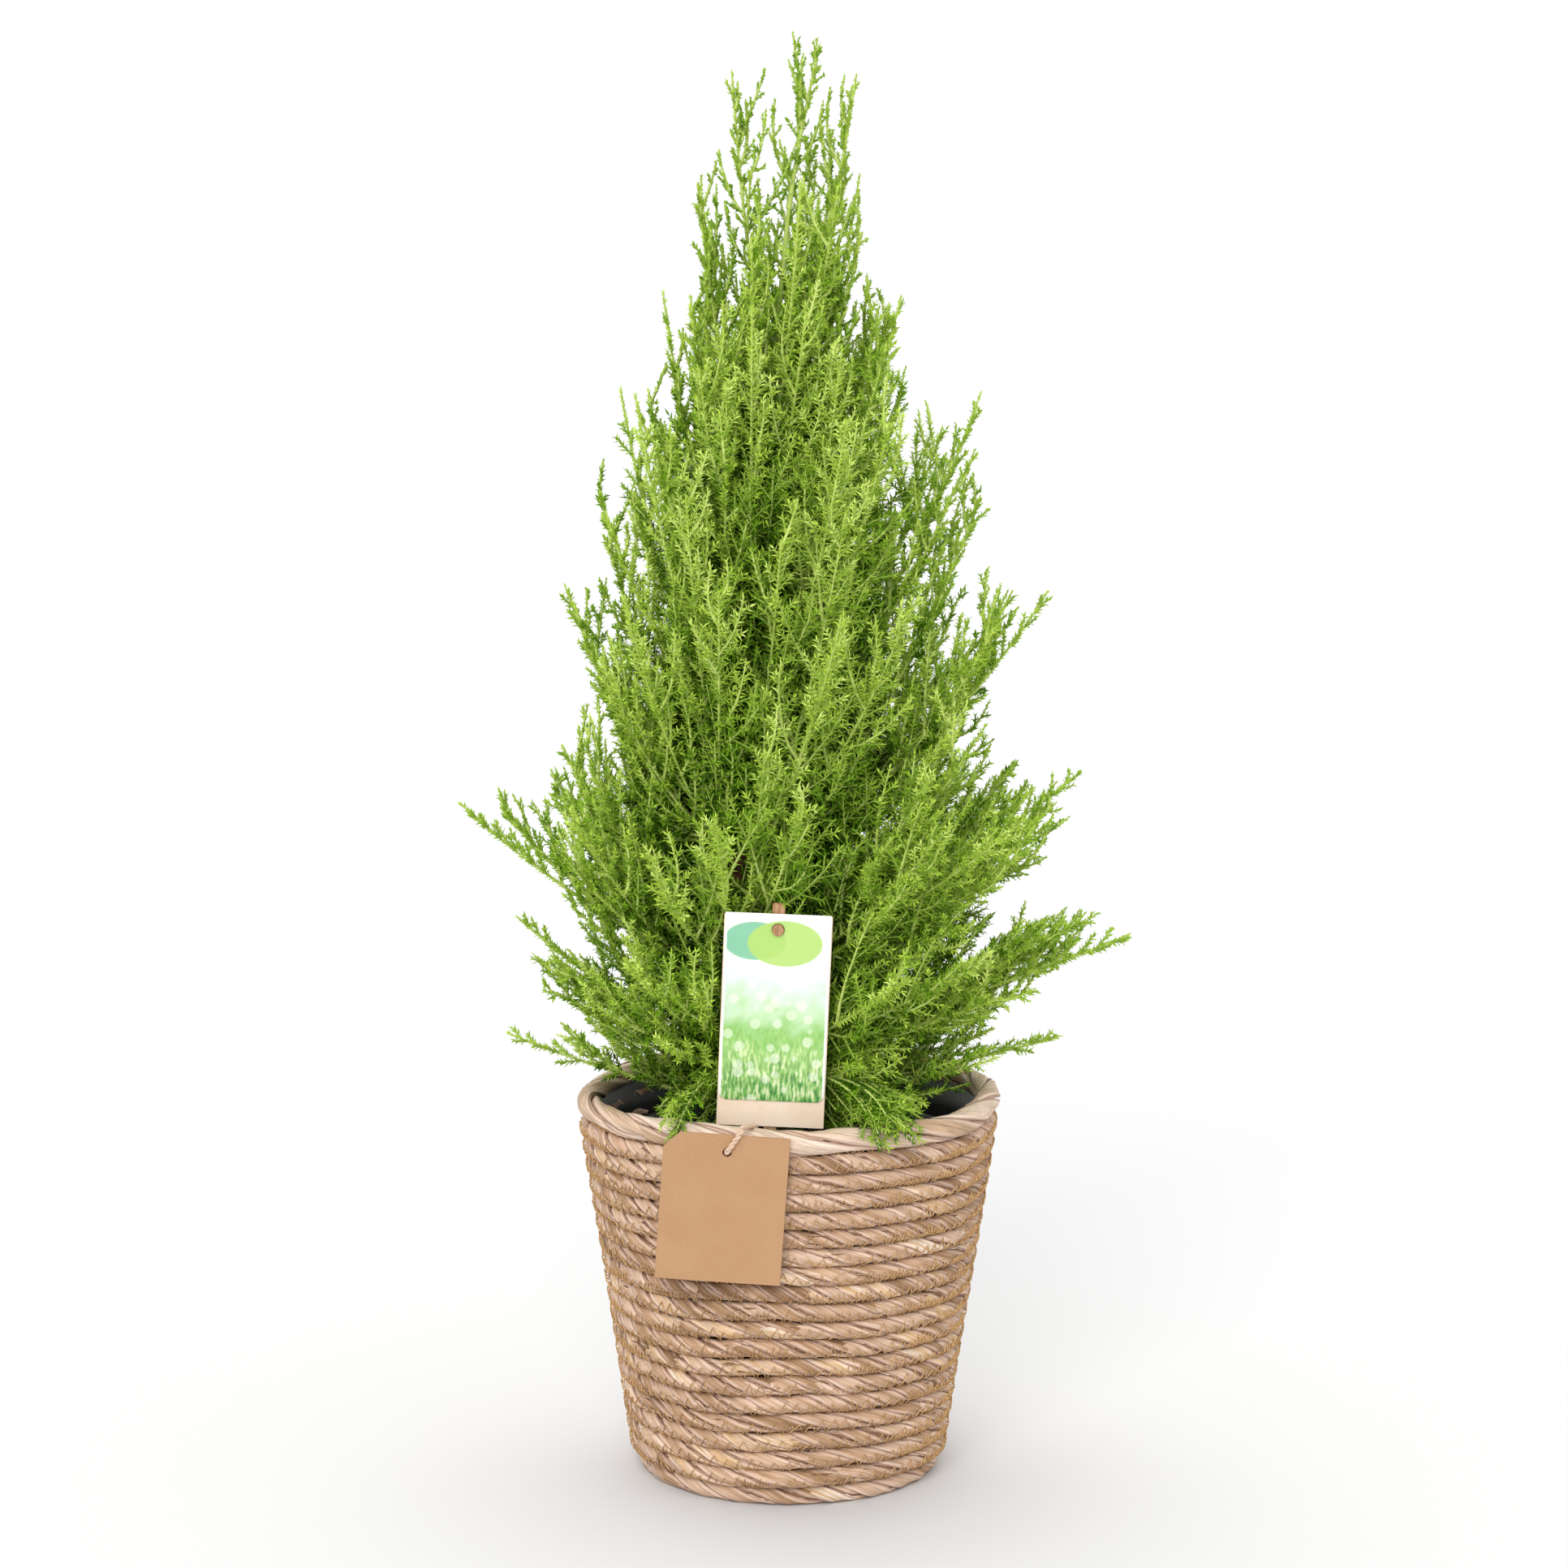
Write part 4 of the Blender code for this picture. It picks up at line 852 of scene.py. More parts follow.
def tone_of(point, part, tipness, luck):
    """Tone of a shoot: deeper towards the trunk, the root of its plume and the rim, fresher at the
    ends, and by its feather's luck. The deeper tones inside are partly painted shade, the darkening
    over the rim is painted shade, and the gain higher up is painted light."""
    out = min(1.0, crown_share(point))
    value = (TONE_START + TONE_OUT * out ** 2 + TONE_PART * part + TONE_TIP * tipness
             + TONE_LUCK * luck)
    value += LIGHT_GAIN * min(1.0, max(0.0, (point[2] - LIGHT_FROM) / LIGHT_OVER))
    if point[2] < SHADE_BELOW:
        value -= SHADE_LOSS
    if point[2] > FRESH_ABOVE:
        value = max(value, 0.36 + 0.32 * luck)
    return int(max(0, min(len(NEEDLE_TONES) - 1, value * len(NEEDLE_TONES))))


def grow_shoots(rng, foliage, feather, length, juvenile, part, luck, lift, limit=1.04):
    """Shoots to both sides of one feather, shorter towards its tip. In the crown's middle, where they
    only close the view, the needles are fewer and broader. On knotty shoots they stay darker, partly
    as painted shade."""
    count = max(3, int(length * 0.92 / (SHOOT_SPACING * (0.78 + 0.22 * juvenile))))
    reach = min(SHOOT_LONGEST, SHOOT_SHARE * length + SHOOT_MORE) * (0.70 + 0.30 * juvenile)
    for k in range(count):
        share = 0.06 + 0.90 * (k + rng.uniform(-0.3, 0.3)) / count
        place, along = path_point(feather, max(0.0, share))
        side = 1.0 if k % 2 else -1.0
        slant = math.radians(rng.uniform(36.0, 54.0) - 10.0 * share)
        shoot = reach * (1.0 - 0.60 * share) * rng.uniform(0.65, 1.2)
        heading = beside(place, along, slant, side, rng.normal(0.10, 0.50))
        path = bent_path(place, heading, shoot, lift, 3)
        if crown_share(path[-1]) > limit or not clear_of_rest(path):
            continue
        tone = tone_of(path[-1], part, 0.25 + 0.55 * share, luck + rng.uniform(-0.12, 0.12))
        crowd, size, fresh_from = 1.0, 1.0, 0.55
        if crown_share(path[-1]) < 0.55:
            crowd, size = 0.60, 1.30
        elif juvenile < 0.5:
            crowd, size = 0.90, 1.22
        if juvenile < 0.5:
            fresh_from = 2.0
            # Knotty shoots are held to a darker tone: partly painted shade
            tone = min(3 if path[-1][2] > KNOTTY_TOP or luck > 0.45 else 2, tone)
        foliage.add_twig("twigs", path, SHOOT_RADIUS, TWIG_TIP_RADIUS, 2)
        foliage.add_needles(rng, path, tone, juvenile, 0.0, crowd, size, fresh_from)


def grow_feather(rng, foliage, plume, main, share, part, turn):
    """One feather: it leaves the plume's stem and swings round to run along with it."""
    scaly, upright, _, longest = HABIT[plume.tier]
    place, along = path_point(main, share)
    left = 1.0 - part
    remaining = np.linalg.norm(main[-1] - place)
    length = min(longest, 0.44 * remaining + 0.028) * rng.uniform(0.78, 1.12)
    slant = math.radians(rng.uniform(34.0, 56.0))
    goal = unit(main[-1] - main[len(main) * 2 // 3])
    last = unit(goal * (1.0 - upright) + UP * upright + rng.normal(0.0, 0.22, 3))
    limit = rng.uniform(0.66, 0.82) + 0.20 * part
    for _ in range(7):
        first = slanted(along, slant, turn)
        points = max(5, int(length / 0.006))
        feather = swung_path(place, first, unit(last + 0.35 * first * left), length, points)
        if crown_share(feather[-1]) <= limit and clear_of_rest(feather):
            break
        turn += math.radians(47.0)
        length *= 0.86
    else:
        return
    edge = max(0.0, min(1.0, (crown_share(feather[-1]) - 0.50) / 0.42))
    sideways = abs(feather[-1][0]) / max(1e-6, math.hypot(feather[-1][0], feather[-1][1]))
    knotty = (scaly * max(0.30, 0.85 * scaly ** 3)
              + (0.55 + 0.30 * scaly) * edge * sideways ** 2)
    juvenile = float(np.clip(1.02 - knotty + rng.normal(0.0, 0.08), 0.0, 1.0))
    luck = rng.random()
    foliage.add_twig("side_twigs", feather, FEATHER_RADIUS, TWIG_TIP_RADIUS, 5)
    tone = min(len(NEEDLE_TONES) - 1, tone_of(feather[-1], part, 0.65, luck) + 1)
    # Knotty feathers are held to a darker tone: partly painted shade
    if juvenile < 0.5:
        tone = min(3, tone)
    foliage.add_needles(rng, feather, tone, juvenile, 0.04, 0.95 - 0.25 * juvenile)
    grow_shoots(rng, foliage, feather, length, juvenile, part, luck, 0.25 * upright)


def grow_plume(plume, foliage, root=STEM_ROOT_RADIUS):
    """Feathers all round one plume's stem, needles along it and shoots at its end. A droop lies in the
    crown's shade, which its darker needles paint, and its end hangs."""
    rng = np.random.default_rng(plume.seed)
    main = plume.path(0.0, 1.0, 41)
    whole = np.linalg.norm(np.diff(main, axis=0), axis=1).sum()
    scaly, _, spacing, _ = HABIT[plume.tier]
    begin = BOUGH_SHARE * 0.5 if plume.tier in TIERS_WITH_BOUGHS else 0.06
    count = max(7, int(whole * (1.0 - begin) / spacing))
    turn = rng.uniform(0.0, 2.0 * math.pi)
    for k in range(count):
        part = min(1.0, max(0.0, (k + rng.uniform(-0.3, 0.3)) / (count - 1)))
        turn += math.radians(GOLDEN_TURN)
        share = begin + (0.975 - begin) * part
        grow_feather(rng, foliage, plume, main, share, part, turn)
    juvenile = 1.0 - 0.35 * scaly - 0.5 * math.cos(plume.angle) ** 2
    shaded = plume.name == "droop"
    # A droop's needles take the shade tone: painted shade from the crown above
    tone, part, lift, limit = (1, 0.0, -0.2, 1.30) if shaded else (4, 1.0, 0.2, 1.12)
    foliage.add_needles(rng, plume.path(0.07, 0.5, 15), 2, juvenile)
    foliage.add_needles(rng, plume.path(0.5, 1.0, 15), tone, juvenile)
    grow_shoots(rng, foliage, plume.path(0.62, 1.0, 15), 0.38 * whole, juvenile, part, 0.6, lift,
                limit)
    woody = "side_twigs" if plume.tier in ("leader", "spire") else "stems"
    foliage.add_twig(woody, plume.path(0.0, 0.16, 7), root, 0.0013, 7)
    foliage.add_twig("side_twigs", plume.path(0.15, 1.0, 16), 0.0013, STEM_TIP_RADIUS, 16)


def grow_inner_feathers(foliage):
    """Feathers straight on the trunk, which fill the crown's dark middle. Their needles take the shade
    tone, as painted shade.
    """
    rng = np.random.default_rng(77)
    for k in range(INNER_FEATHERS):
        height = INNER_FOOT + INNER_RISE * (k / (INNER_FEATHERS - 1.0)) ** 1.3
        turn = math.radians(GOLDEN_TURN * k)
        outward = Vector((math.cos(turn), math.sin(turn), 0.0))
        if GAP_CLEAR_LOW < height < GAP_CLEAR_HIGH and outward.y < -0.55:
            continue
        start = np.array(branch_start(height, outward))
        first = unit(np.array(outward) + 0.35 * UP)
        last = unit(np.array(outward) * 0.55 + UP + rng.normal(0.0, 0.2, 3))
        length = rng.uniform(*INNER_LENGTH)
        feather = swung_path(start, first, last, length, 12)
        if crown_share(feather[-1]) > 0.85 or not clear_of_rest(feather):
            continue
        foliage.add_twig("side_twigs", feather, INNER_RADIUS, TWIG_TIP_RADIUS, 5)
        # The shade tone here is painted shade for the crown's middle
        foliage.add_needles(rng, feather, 1, 1.0, 0.04, 0.6, 1.3)
        grow_shoots(rng, foliage, feather, length, 1.0, 0.0, 0.25, 0.15)


def build_foliage():
    """Grows every plume with its side limbs, the droops and the inner feathers, as pieces."""
    foliage = Foliage()
    names = [row[0] for row in TIERS]
    heights = [row[2] for row in TIERS] + [LOWEST_DROP]
    for plume in crown_plumes():
        grow_plume(plume, foliage)
        if plume.tier in ("leader", "spire"):
            continue
        rng = np.random.default_rng(plume.seed + 500)
        tier = names.index(plume.tier)
        aside = abs(math.cos(plume.angle)) > 0.5
        forks = [fork for tiers, only_aside, rows in FORKS for fork in rows
                 if plume.tier in tiers and (aside or not only_aside)]
        for side, low, high in forks:
            turn = side * math.radians(120.0 / TIERS[tier][7]) * rng.uniform(0.85, 1.1)
            drop = (heights[tier] - heights[tier + 1]) * rng.uniform(low, high)
            limb = plume.side_limb(rng, turn, drop)
            path = limb.path(0.0, 1.0, 12)
            if all(clear_of_rest(path[k:k + 2]) for k in range(11)):
                grow_plume(limb, foliage, FORK_ROOT_RADIUS)
    strays = np.random.default_rng(41)
    for turn in DROOPS:
        outward = Vector((math.cos(math.radians(turn)), math.sin(math.radians(turn)), 0.0))
        start = branch_start(DROOP_START, outward)
        elbow = outward * DROOP_ELBOW_OUT + Vector((0.0, 0.0, strays.uniform(0.242, 0.254)))
        tip = outward * DROOP_TIP_OUT + Vector((strays.uniform(-0.006, 0.006), 0.0,
                                                strays.uniform(0.203, 0.216)))
        grow_plume(Plume("foot", "droop", start, elbow, tip, math.radians(turn), 3000 + int(turn)),
                   foliage, FORK_ROOT_RADIUS)
    grow_inner_feathers(foliage)
    materials = [needle_material("needles_" + name, colour, edge)
                 for name, colour, edge in NEEDLE_TONES]
    twigs = {"twigs": twig_material("shoot_bark", "#8fae3c", "#a5c052"),
             "side_twigs": twig_material("twig_bark", "#b4ca5c", "#cbdc7c"),
             "stems": bark_material()}
    pieces = list(foliage.build(materials, twigs))
    masses = [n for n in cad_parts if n.startswith("foliage_")]
    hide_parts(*masses)
    boughs = [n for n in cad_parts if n.startswith("bough_")]
    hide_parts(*boughs)


def smooth_noise(rng, shape, low):
    """Random values that change smoothly along the second axis, from a coarser row of them."""
    rows, length = shape
    coarse = rng.normal(0.0, 1.0, (rows, low))
    place = np.linspace(0.0, low - 1.0, length)
    return np.stack([np.interp(place, np.arange(low), row) for row in coarse])


def build_trunk(bark, green):
    """The trunk with its bark in relief: shallow upright fissures and a flared foot. Its last
    year's growth at the top is still green."""
    rng = np.random.default_rng(7)
    rings, sides = BARK_RINGS, BARK_SIDES
    heights = np.linspace(SOIL_TOP - 0.004, TRUNK_TOP, rings)
    turns = np.arange(sides) * 2.0 * math.pi / sides
    relief = smooth_noise(rng, (sides, rings), 24)
    relief = 0.5 * relief + 0.25 * (np.roll(relief, 1, 0) + np.roll(relief, -1, 0))
    vertices = np.zeros((rings, sides, 3))
    for k, height in enumerate(heights):
        middle, radius = trunk_curve(max(height, SOIL_TOP + GAP))
        around = radius * (1.0 + 0.05 * relief[:, k] - 0.10 * (np.arange(sides) % 3 == 0))
        vertices[k, :, 0] = middle.x + around * np.cos(turns)
        vertices[k, :, 1] = middle.y + around * np.sin(turns)
        vertices[k, :, 2] = height
    green_from = int(np.searchsorted(heights, GREEN_FROM))
    for name, first, last, material in (("trunk_bark", 0, green_from + 1, bark),
                                        ("trunk_top", green_from, rings, green)):
        piece = mesh_piece(name, vertices[first:last].reshape(-1, 3),
                           ring_quads(last - first, sides), material)
        if first == 0:
            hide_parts("trunk")


# Basket

COIL_PITCH = 0.01048
COIL_RADIUS = 0.00515
FIRST_COIL = 0.00530
WALL_COILS = 19
COIL_TWIST = 0.055
RIM_RADIUS = 0.0064
RIM_TWIST = 0.130
STRANDS = 3
STRIP_HALF = 0.0053
CORE_RADIUS = 0.0044
# The floor's coils: their number, the radius of the first and their distance apart
FLOOR_COILS = 7
FLOOR_FIRST = 0.0052
FLOOR_PITCH = 0.0102
# Fibres that have come loose from the rope
LOOSE_FIBRES = 70
# Stitches: their run where they stand apart and where they crowd, their rise on a coil and on the
# rim, and the turn from the front and the width of the seam where most of them crowd
STITCH_APART = (0.0052, 0.0082)
STITCH_CROWDED = (0.0024, 0.0036)
STITCH_RISE = 0.0080
RIM_STITCH_RISE = 0.0022
STITCH_RADIUS = 0.00036
SEAM_TURN = 1.30
SEAM_WIDTH = 0.35


def wall_radius(height):
    """Outer radius of the coils at their crests."""
    radius = FOOT_RADIUS + WALL_SLOPE * height
    if height < FOOT_ROUND:
        share = 1.0 - height / FOOT_ROUND
        radius -= FOOT_ROUND * (1.0 - math.sqrt(1.0 - share * share))
    return radius


def wander(turn, height):
    """How far the hand-coiled wall strays out and up at a place."""
    out = 0.0008 * np.sin(2.0 * turn + 1.3 + 9.0 * height) + 0.0004 * np.sin(
        5.0 * turn + 31.0 * height + 2.0)
    rise = 0.0010 * np.sin(3.0 * turn + 14.0 * height) + 0.0005 * np.sin(
        7.0 * turn + 23.0 * height)
    return out, rise * min(1.0, height / 0.04)


class Rope:
    """Collects the leaf strips of twisted rope rings, with their run and tone."""

    def __init__(self, rng):
        self.rng = rng
        self.parts = []
        self.uvs = []
        self.tones = []

    def add_strip(self, ring, radius, height, twist, begin, length, phase, tone, lift):
        """One strip of leaf along a ring of rope, tucked under its neighbours at both ends."""
        stations = max(6, int(length / 0.0054))
        way = begin + np.linspace(0.0, length, stations)
        turn = way / ring
        share = np.linspace(0.0, 1.0, stations)
        ends = np.clip(np.minimum(share, 1.0 - share) / 0.16, 0.0, 1.0)
        ends = ends * ends * (3.0 - 2.0 * ends)
        out, rise = wander(turn, height)
        centre_r = ring + out
        centre_z = height + rise
        psi = phase - 2.0 * math.pi * way / twist
        psi = psi + 0.16 * smooth_noise(self.rng, (1, stations), 6)[0]
        half_width = radius * self.rng.uniform(0.78, 0.94) * (0.42 + 0.58 * ends)
        thick = radius * 0.50
        away = radius * (0.50 + lift) - 0.16 * radius * (1.0 - ends)
        section = np.radians((-82.0, -34.0, 34.0, 82.0, 180.0))
        folds = smooth_noise(self.rng, (len(section), stations), max(3, stations // 3))
        folds[-1] = 0.0
        radial = away[:, None] + thick * np.cos(section)[None, :] + 0.070 * radius * folds.T
        tangent = half_width[:, None] * np.sin(section)[None, :]
        outward = centre_r[:, None] + radial * np.cos(psi)[:, None] - tangent * np.sin(psi)[:, None]
        upward = centre_z[:, None] + radial * np.sin(psi)[:, None] + tangent * np.cos(psi)[:, None]
        upward = np.maximum(upward, GAP)
        vertices = np.stack((outward * np.sin(turn)[:, None], -outward * np.cos(turn)[:, None],
                             upward), -1)
        corners = len(section)
        self.parts.append((vertices.reshape(-1, 3), ring_quads(stations, corners)))
        offset = self.rng.uniform(0.0, 9.0)
        run = np.stack((np.repeat(offset + way, corners),
                        np.tile(STRIP_HALF * np.sin(section), stations)), -1)
        self.uvs.append(run)
        self.tones.append(np.full(stations * corners, tone))

    def add_ring(self, ring, radius, height, twist, shortest=0.036, longest=0.092, pale=0.0):
        """A whole ring of rope, each strand a chain of strips."""
        around = 2.0 * math.pi * ring
        twist = around / max(1, round(around / twist))
        start = self.rng.uniform(0.0, 2.0 * math.pi)
        for strand in range(STRANDS):
            phase = start + 2.0 * math.pi * strand / STRANDS
            way = self.rng.uniform(0.0, 0.05)
            last = way + around
            while way < last - 1e-6:
                length = self.rng.uniform(shortest, longest)
                if last - way - length < shortest / 2.0:
                    length = last - way
                tone = float(np.clip(self.rng.beta(2.0, 2.2) + pale, 0.02, 0.98))
                self.add_strip(ring, radius, height, twist, way - 0.008, length + 0.016, phase,
                               tone, self.rng.uniform(-0.08, 0.13))
                way += length

    def build(self, name, material, slot):
        vertices, quads = joined(self.parts)
        obj = mesh_piece(name, vertices, quads, material)
        uvs = np.concatenate(self.uvs)
        layer = obj.data.uv_layers.new(name="strip")
        corner = np.zeros(len(obj.data.loops), np.int32)
        obj.data.loops.foreach_get("vertex_index", corner)
        layer.data.foreach_set("uv", uvs[corner].astype(np.float32).ravel())
        tones = obj.data.attributes.new("strip_tone", "FLOAT", "POINT")
        tones.data.foreach_set("value", np.concatenate(self.tones).astype(np.float32))
        return obj


def coil_heights():
    """Heights of the wall's coils."""
    return [FIRST_COIL + COIL_PITCH * k for k in range(WALL_COILS)]


def build_rope_cores(material):
    """The filling of each coil, which shows where the strips part. Its dark colour is painted shade
    for the grooves and the gaps between strips.
    """
    parts = []
    turn = np.linspace(0.0, 2.0 * math.pi, 91)
    for height in coil_heights():
        out, rise = wander(turn, height)
        ring = wall_radius(height) - COIL_RADIUS + out
        path = np.stack((ring * np.sin(turn), -ring * np.cos(turn), height + rise), -1)
        parts.append(tubes(path[None], np.full((1, len(path)), CORE_RADIUS), 6, UP))
    vertices, quads = joined(parts)
    mesh_piece("basket_cores", vertices, quads, material)


def build_basket():
    """Rope wall and floor, their filling, and the thicker coil of the rim."""
    wall_stops = ((0.0, "#8f6c4b"), (0.2, "#b48e6a"), (0.4, "#cfa989"), (0.55, "#dcb99d"),
                  (0.7, "#e4c6ab"), (0.82, "#dfb57e"), (1.0, "#fae6d4"))
    rim_stops = ((0.0, "#b89877"), (0.35, "#cba98a"), (0.7, "#dcbea3"), (1.0, "#ebd5c1"))
    wall_leaf = leaf_rope_material("banana_leaf_wall", wall_stops)
    rim_leaf = leaf_rope_material("banana_leaf_rim", rim_stops)
    # The cores' dark colour is painted shade for the grooves between coils and the gaps between strips
    core_shade = fibre_material("core_painted_shade", "#684b34", "#8e6d50")
    rope = Rope(np.random.default_rng(21))
    for height in coil_heights():
        twist = COIL_TWIST * rope.rng.uniform(0.75, 1.4)
        ring = wall_radius(height) - COIL_RADIUS
        rope.add_ring(ring, COIL_RADIUS * 0.97, height, twist)
    for k in range(FLOOR_COILS):
        rope.add_ring(FLOOR_FIRST + FLOOR_PITCH * k, COIL_RADIUS, FIRST_COIL, COIL_TWIST)
    wall = rope.build("basket_coils", wall_leaf, "basket_rope")
    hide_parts("basket")
    build_rope_cores(core_shade)
    rim = Rope(np.random.default_rng(22))
    rim.add_ring(RIM_RING, RIM_RADIUS, RIM_MIDDLE, RIM_TWIST, 0.12, 0.24, 0.05)
    rim.build("basket_rim", rim_leaf, "basket_rope")


def on_wall(turn, height, proud):
    """A point on the wall, proud of the coil's surface, at a turn from the front."""
    coil = min(WALL_COILS - 1, max(0, round((height - FIRST_COIL) / COIL_PITCH)))
    middle = FIRST_COIL + COIL_PITCH * coil
    out, rise = wander(np.array(turn), middle)
    off = max(-0.98, min(0.98, (height - middle) / (COIL_RADIUS * 1.02)))
    radius = (wall_radius(middle) - COIL_RADIUS + float(out)
              + COIL_RADIUS * 1.02 * math.sqrt(1.0 - off * off) + proud)
    return np.array((radius * math.sin(turn), -radius * math.cos(turn), height + float(rise)))


def build_stitches(material):
    """The thread that sews each coil to the next: a zigzag out of every groove and up over part
    of the coil above, close together in places and most of all at the seam."""
    rng = np.random.default_rng(31)
    parts = []
    for coil in range(WALL_COILS):
        groove = FIRST_COIL + COIL_PITCH * (coil + 0.5)
        ring = wall_radius(groove)
        highest = STITCH_RISE if coil < WALL_COILS - 1 else RIM_STITCH_RISE
        around = 2.0 * math.pi * ring
        way = 0.0
        crowded = 0
        points = []
        while way < around:
            seam = math.exp(-((way / ring - SEAM_TURN) / SEAM_WIDTH) ** 2)
            if crowded == 0 and rng.random() < 0.05 + 0.60 * seam:
                crowded = int(rng.integers(4, 13))
            period = rng.uniform(*(STITCH_CROWDED if crowded else STITCH_APART))
            crowded = max(0, crowded - 1)
            peak = highest * rng.uniform(0.55, 1.0)
            lean = period * rng.uniform(0.45, 0.75)
            for along, share, proud in ((0.0, -0.12, 0.0001), (0.34 * lean, 0.34, 0.0013),
                                        (lean, 1.0, 0.0010),
                                        (lean + 0.66 * (period - lean), 0.34, 0.0013)):
                points.append(on_wall((way + along) / ring, groove + peak * share, proud))
            way += period
        path = np.array(points)
        outward = unit(path * np.array((1.0, 1.0, 0.0)))
        radii = np.full((1, len(path)), STITCH_RADIUS)
        parts.append(tubes(path[None], radii, 3, outward[None]))
    vertices, quads = joined(parts)
    mesh_piece("basket_stitches", vertices, quads, material)


def build_fibres(material):
    """Loose fibres that stand off the rope."""
    rng = np.random.default_rng(41)
    paths = []
    for _ in range(LOOSE_FIBRES):
        turn = rng.uniform(0.0, 2.0 * math.pi)
        height = rng.uniform(0.02, 0.198)
        length = rng.uniform(0.008, 0.034)
        slope = rng.normal(0.0, 0.25)
        points = []
        for k in range(8):
            share = k / 7.0
            proud = 0.0002 + 0.0012 * math.sin(math.pi * share)
            points.append(on_wall(turn + share * length / 0.1, height + slope * share * length,
                                  proud))
        smooth = np.stack(points)
        smooth[1:-1] = (smooth[:-2] + 2.0 * smooth[1:-1] + smooth[2:]) / 4.0
        paths.append(smooth)
    paths = np.stack(paths)
    vertices, quads = tubes(paths, np.full(paths.shape[:2], 0.00017), 3)
    mesh_piece("basket_fibres", vertices, quads, material)


# Crumbs that lie loose on the soil
CRUMBS = 1400


def lathe(name, profile, sides, material):
    """A smooth turned piece from a profile of (radius, height)."""
    turns = np.arange(sides) * 2.0 * math.pi / sides
    radius = np.array([r for r, _ in profile])[:, None]
    height = np.array([h for _, h in profile])[:, None]
    vertices = np.stack((radius * np.cos(turns), radius * np.sin(turns),
                         np.broadcast_to(height, (len(profile), sides))), -1).reshape(-1, 3)
    return mesh_piece(name, vertices, ring_quads(len(profile), sides), material)


def build_pot_and_soil(plastic, soil):
    """Liner, nursery pot with a rolled lip, and a crumbly soil surface."""
    inner = [(wall_radius(h) - 2.0 * COIL_RADIUS - 0.0006, h)
             for h in np.linspace(0.0125, RIM_LOW + 0.003, 14)]
    outer = [(r - 0.0004, h) for r, h in reversed(inner)]
    lathe("basket_liner", inner + outer, 96, plastic)
    wall = [(0.002, POT_BASE), (POT_FOOT_RADIUS - 0.002, POT_BASE),
            (POT_FOOT_RADIUS, POT_BASE + 0.002)]
    low = POT_LIP_HEIGHT - 0.012
    share = (low - POT_BASE) / POT_HEIGHT
    at_low = POT_FOOT_RADIUS + (POT_TOP_RADIUS - POT_FOOT_RADIUS) * share
    wall += [(at_low, low), (at_low + POT_LIP, low + 0.001),
             (POT_TOP_RADIUS + POT_LIP, POT_LIP_HEIGHT - 0.001),
             (POT_TOP_RADIUS + POT_LIP - 0.001, POT_LIP_HEIGHT),
             (POT_TOP_RADIUS - POT_WALL + 0.001, POT_LIP_HEIGHT),
             (POT_TOP_RADIUS - POT_WALL, POT_LIP_HEIGHT - 0.001),
             (POT_FOOT_RADIUS - POT_WALL, POT_BASE + POT_WALL), (0.002, POT_BASE + POT_WALL)]
    pot = lathe("pot_shell", wall, 96, plastic)
    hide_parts("nursery_pot")
    rng = np.random.default_rng(51)
    profile = [(0.0905 * (k / 30.0), SOIL_TOP - 0.0008) for k in range(31)]
    profile[0] = (0.0004, SOIL_TOP - 0.0008)
    profile += [(0.0900, SOIL_TOP - 0.03), (0.0004, SOIL_TOP - 0.03)]
    bed = lathe("soil_bed", profile, 120, soil)
    co = np.zeros(len(bed.data.vertices) * 3, np.float32)
    bed.data.vertices.foreach_get("co", co)
    co = co.reshape(-1, 3)
    top = co[:, 2] > SOIL_TOP - 0.01
    co[top, 2] += rng.normal(0.0, 0.0006, top.sum())
    bed.data.vertices.foreach_set("co", co.ravel())
    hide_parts("soil")
    crumbs = []
    faces = np.array([(0, 1, 2), (0, 2, 3), (0, 3, 4), (0, 4, 1), (5, 2, 1), (5, 3, 2),
                      (5, 4, 3), (5, 1, 4)])
    shape = np.array([(0, 0, 1), (1, 0, 0), (0, 1, 0), (-1, 0, 0), (0, -1, 0), (0, 0, -1)], float)
    for _ in range(CRUMBS):
        away = 0.0885 * math.sqrt(rng.random())
        turn = rng.uniform(0.0, 2.0 * math.pi)
        size = rng.uniform(0.0006, 0.0021) * rng.uniform(0.6, 1.0, 3)
        points = shape * size + rng.normal(0.0, 0.00015, (6, 3))
        spin = rng.uniform(0.0, 3.1)
        turned = points.copy()
        turned[:, 0] = points[:, 0] * math.cos(spin) - points[:, 1] * math.sin(spin)
        turned[:, 1] = points[:, 0] * math.sin(spin) + points[:, 1] * math.cos(spin)
        place = (away * math.cos(turn), away * math.sin(turn), SOIL_TOP - 0.0006)
        crumbs.append((turned + np.array(place), faces))
    vertices, triangles = joined(crumbs)
    mesh_piece("soil_crumbs", vertices, triangles, soil, False)


# Card, stick, tag and twine

def board_place(middle, tilt, lean, x, z, forward):
    """A place on a board that stands tilted and leans back, or forward of it."""
    turn = Matrix.Rotation(tilt, 4, "Y") @ Matrix.Rotation(lean, 4, "X")
    return Matrix.Translation(middle) @ turn @ Matrix.Translation((x, -forward, z))


def card_place(below_top, forward):
    return board_place(CARD_TOP, CARD_TILT, CARD_LEAN, 0.0, -below_top, forward)


def tag_place(x, z, forward):
    return board_place(TAG_MIDDLE, TAG_TILT, TAG_LEAN, x, z, forward)


def round_corner(x, z, radius, first, steps=10):
    """Points of a quarter circle about a place, from one direction on."""
    turns = [math.radians(first + 90.0 * k / steps) for k in range(steps + 1)]
    return [(x + radius * math.cos(turn), z + radius * math.sin(turn)) for turn in turns]


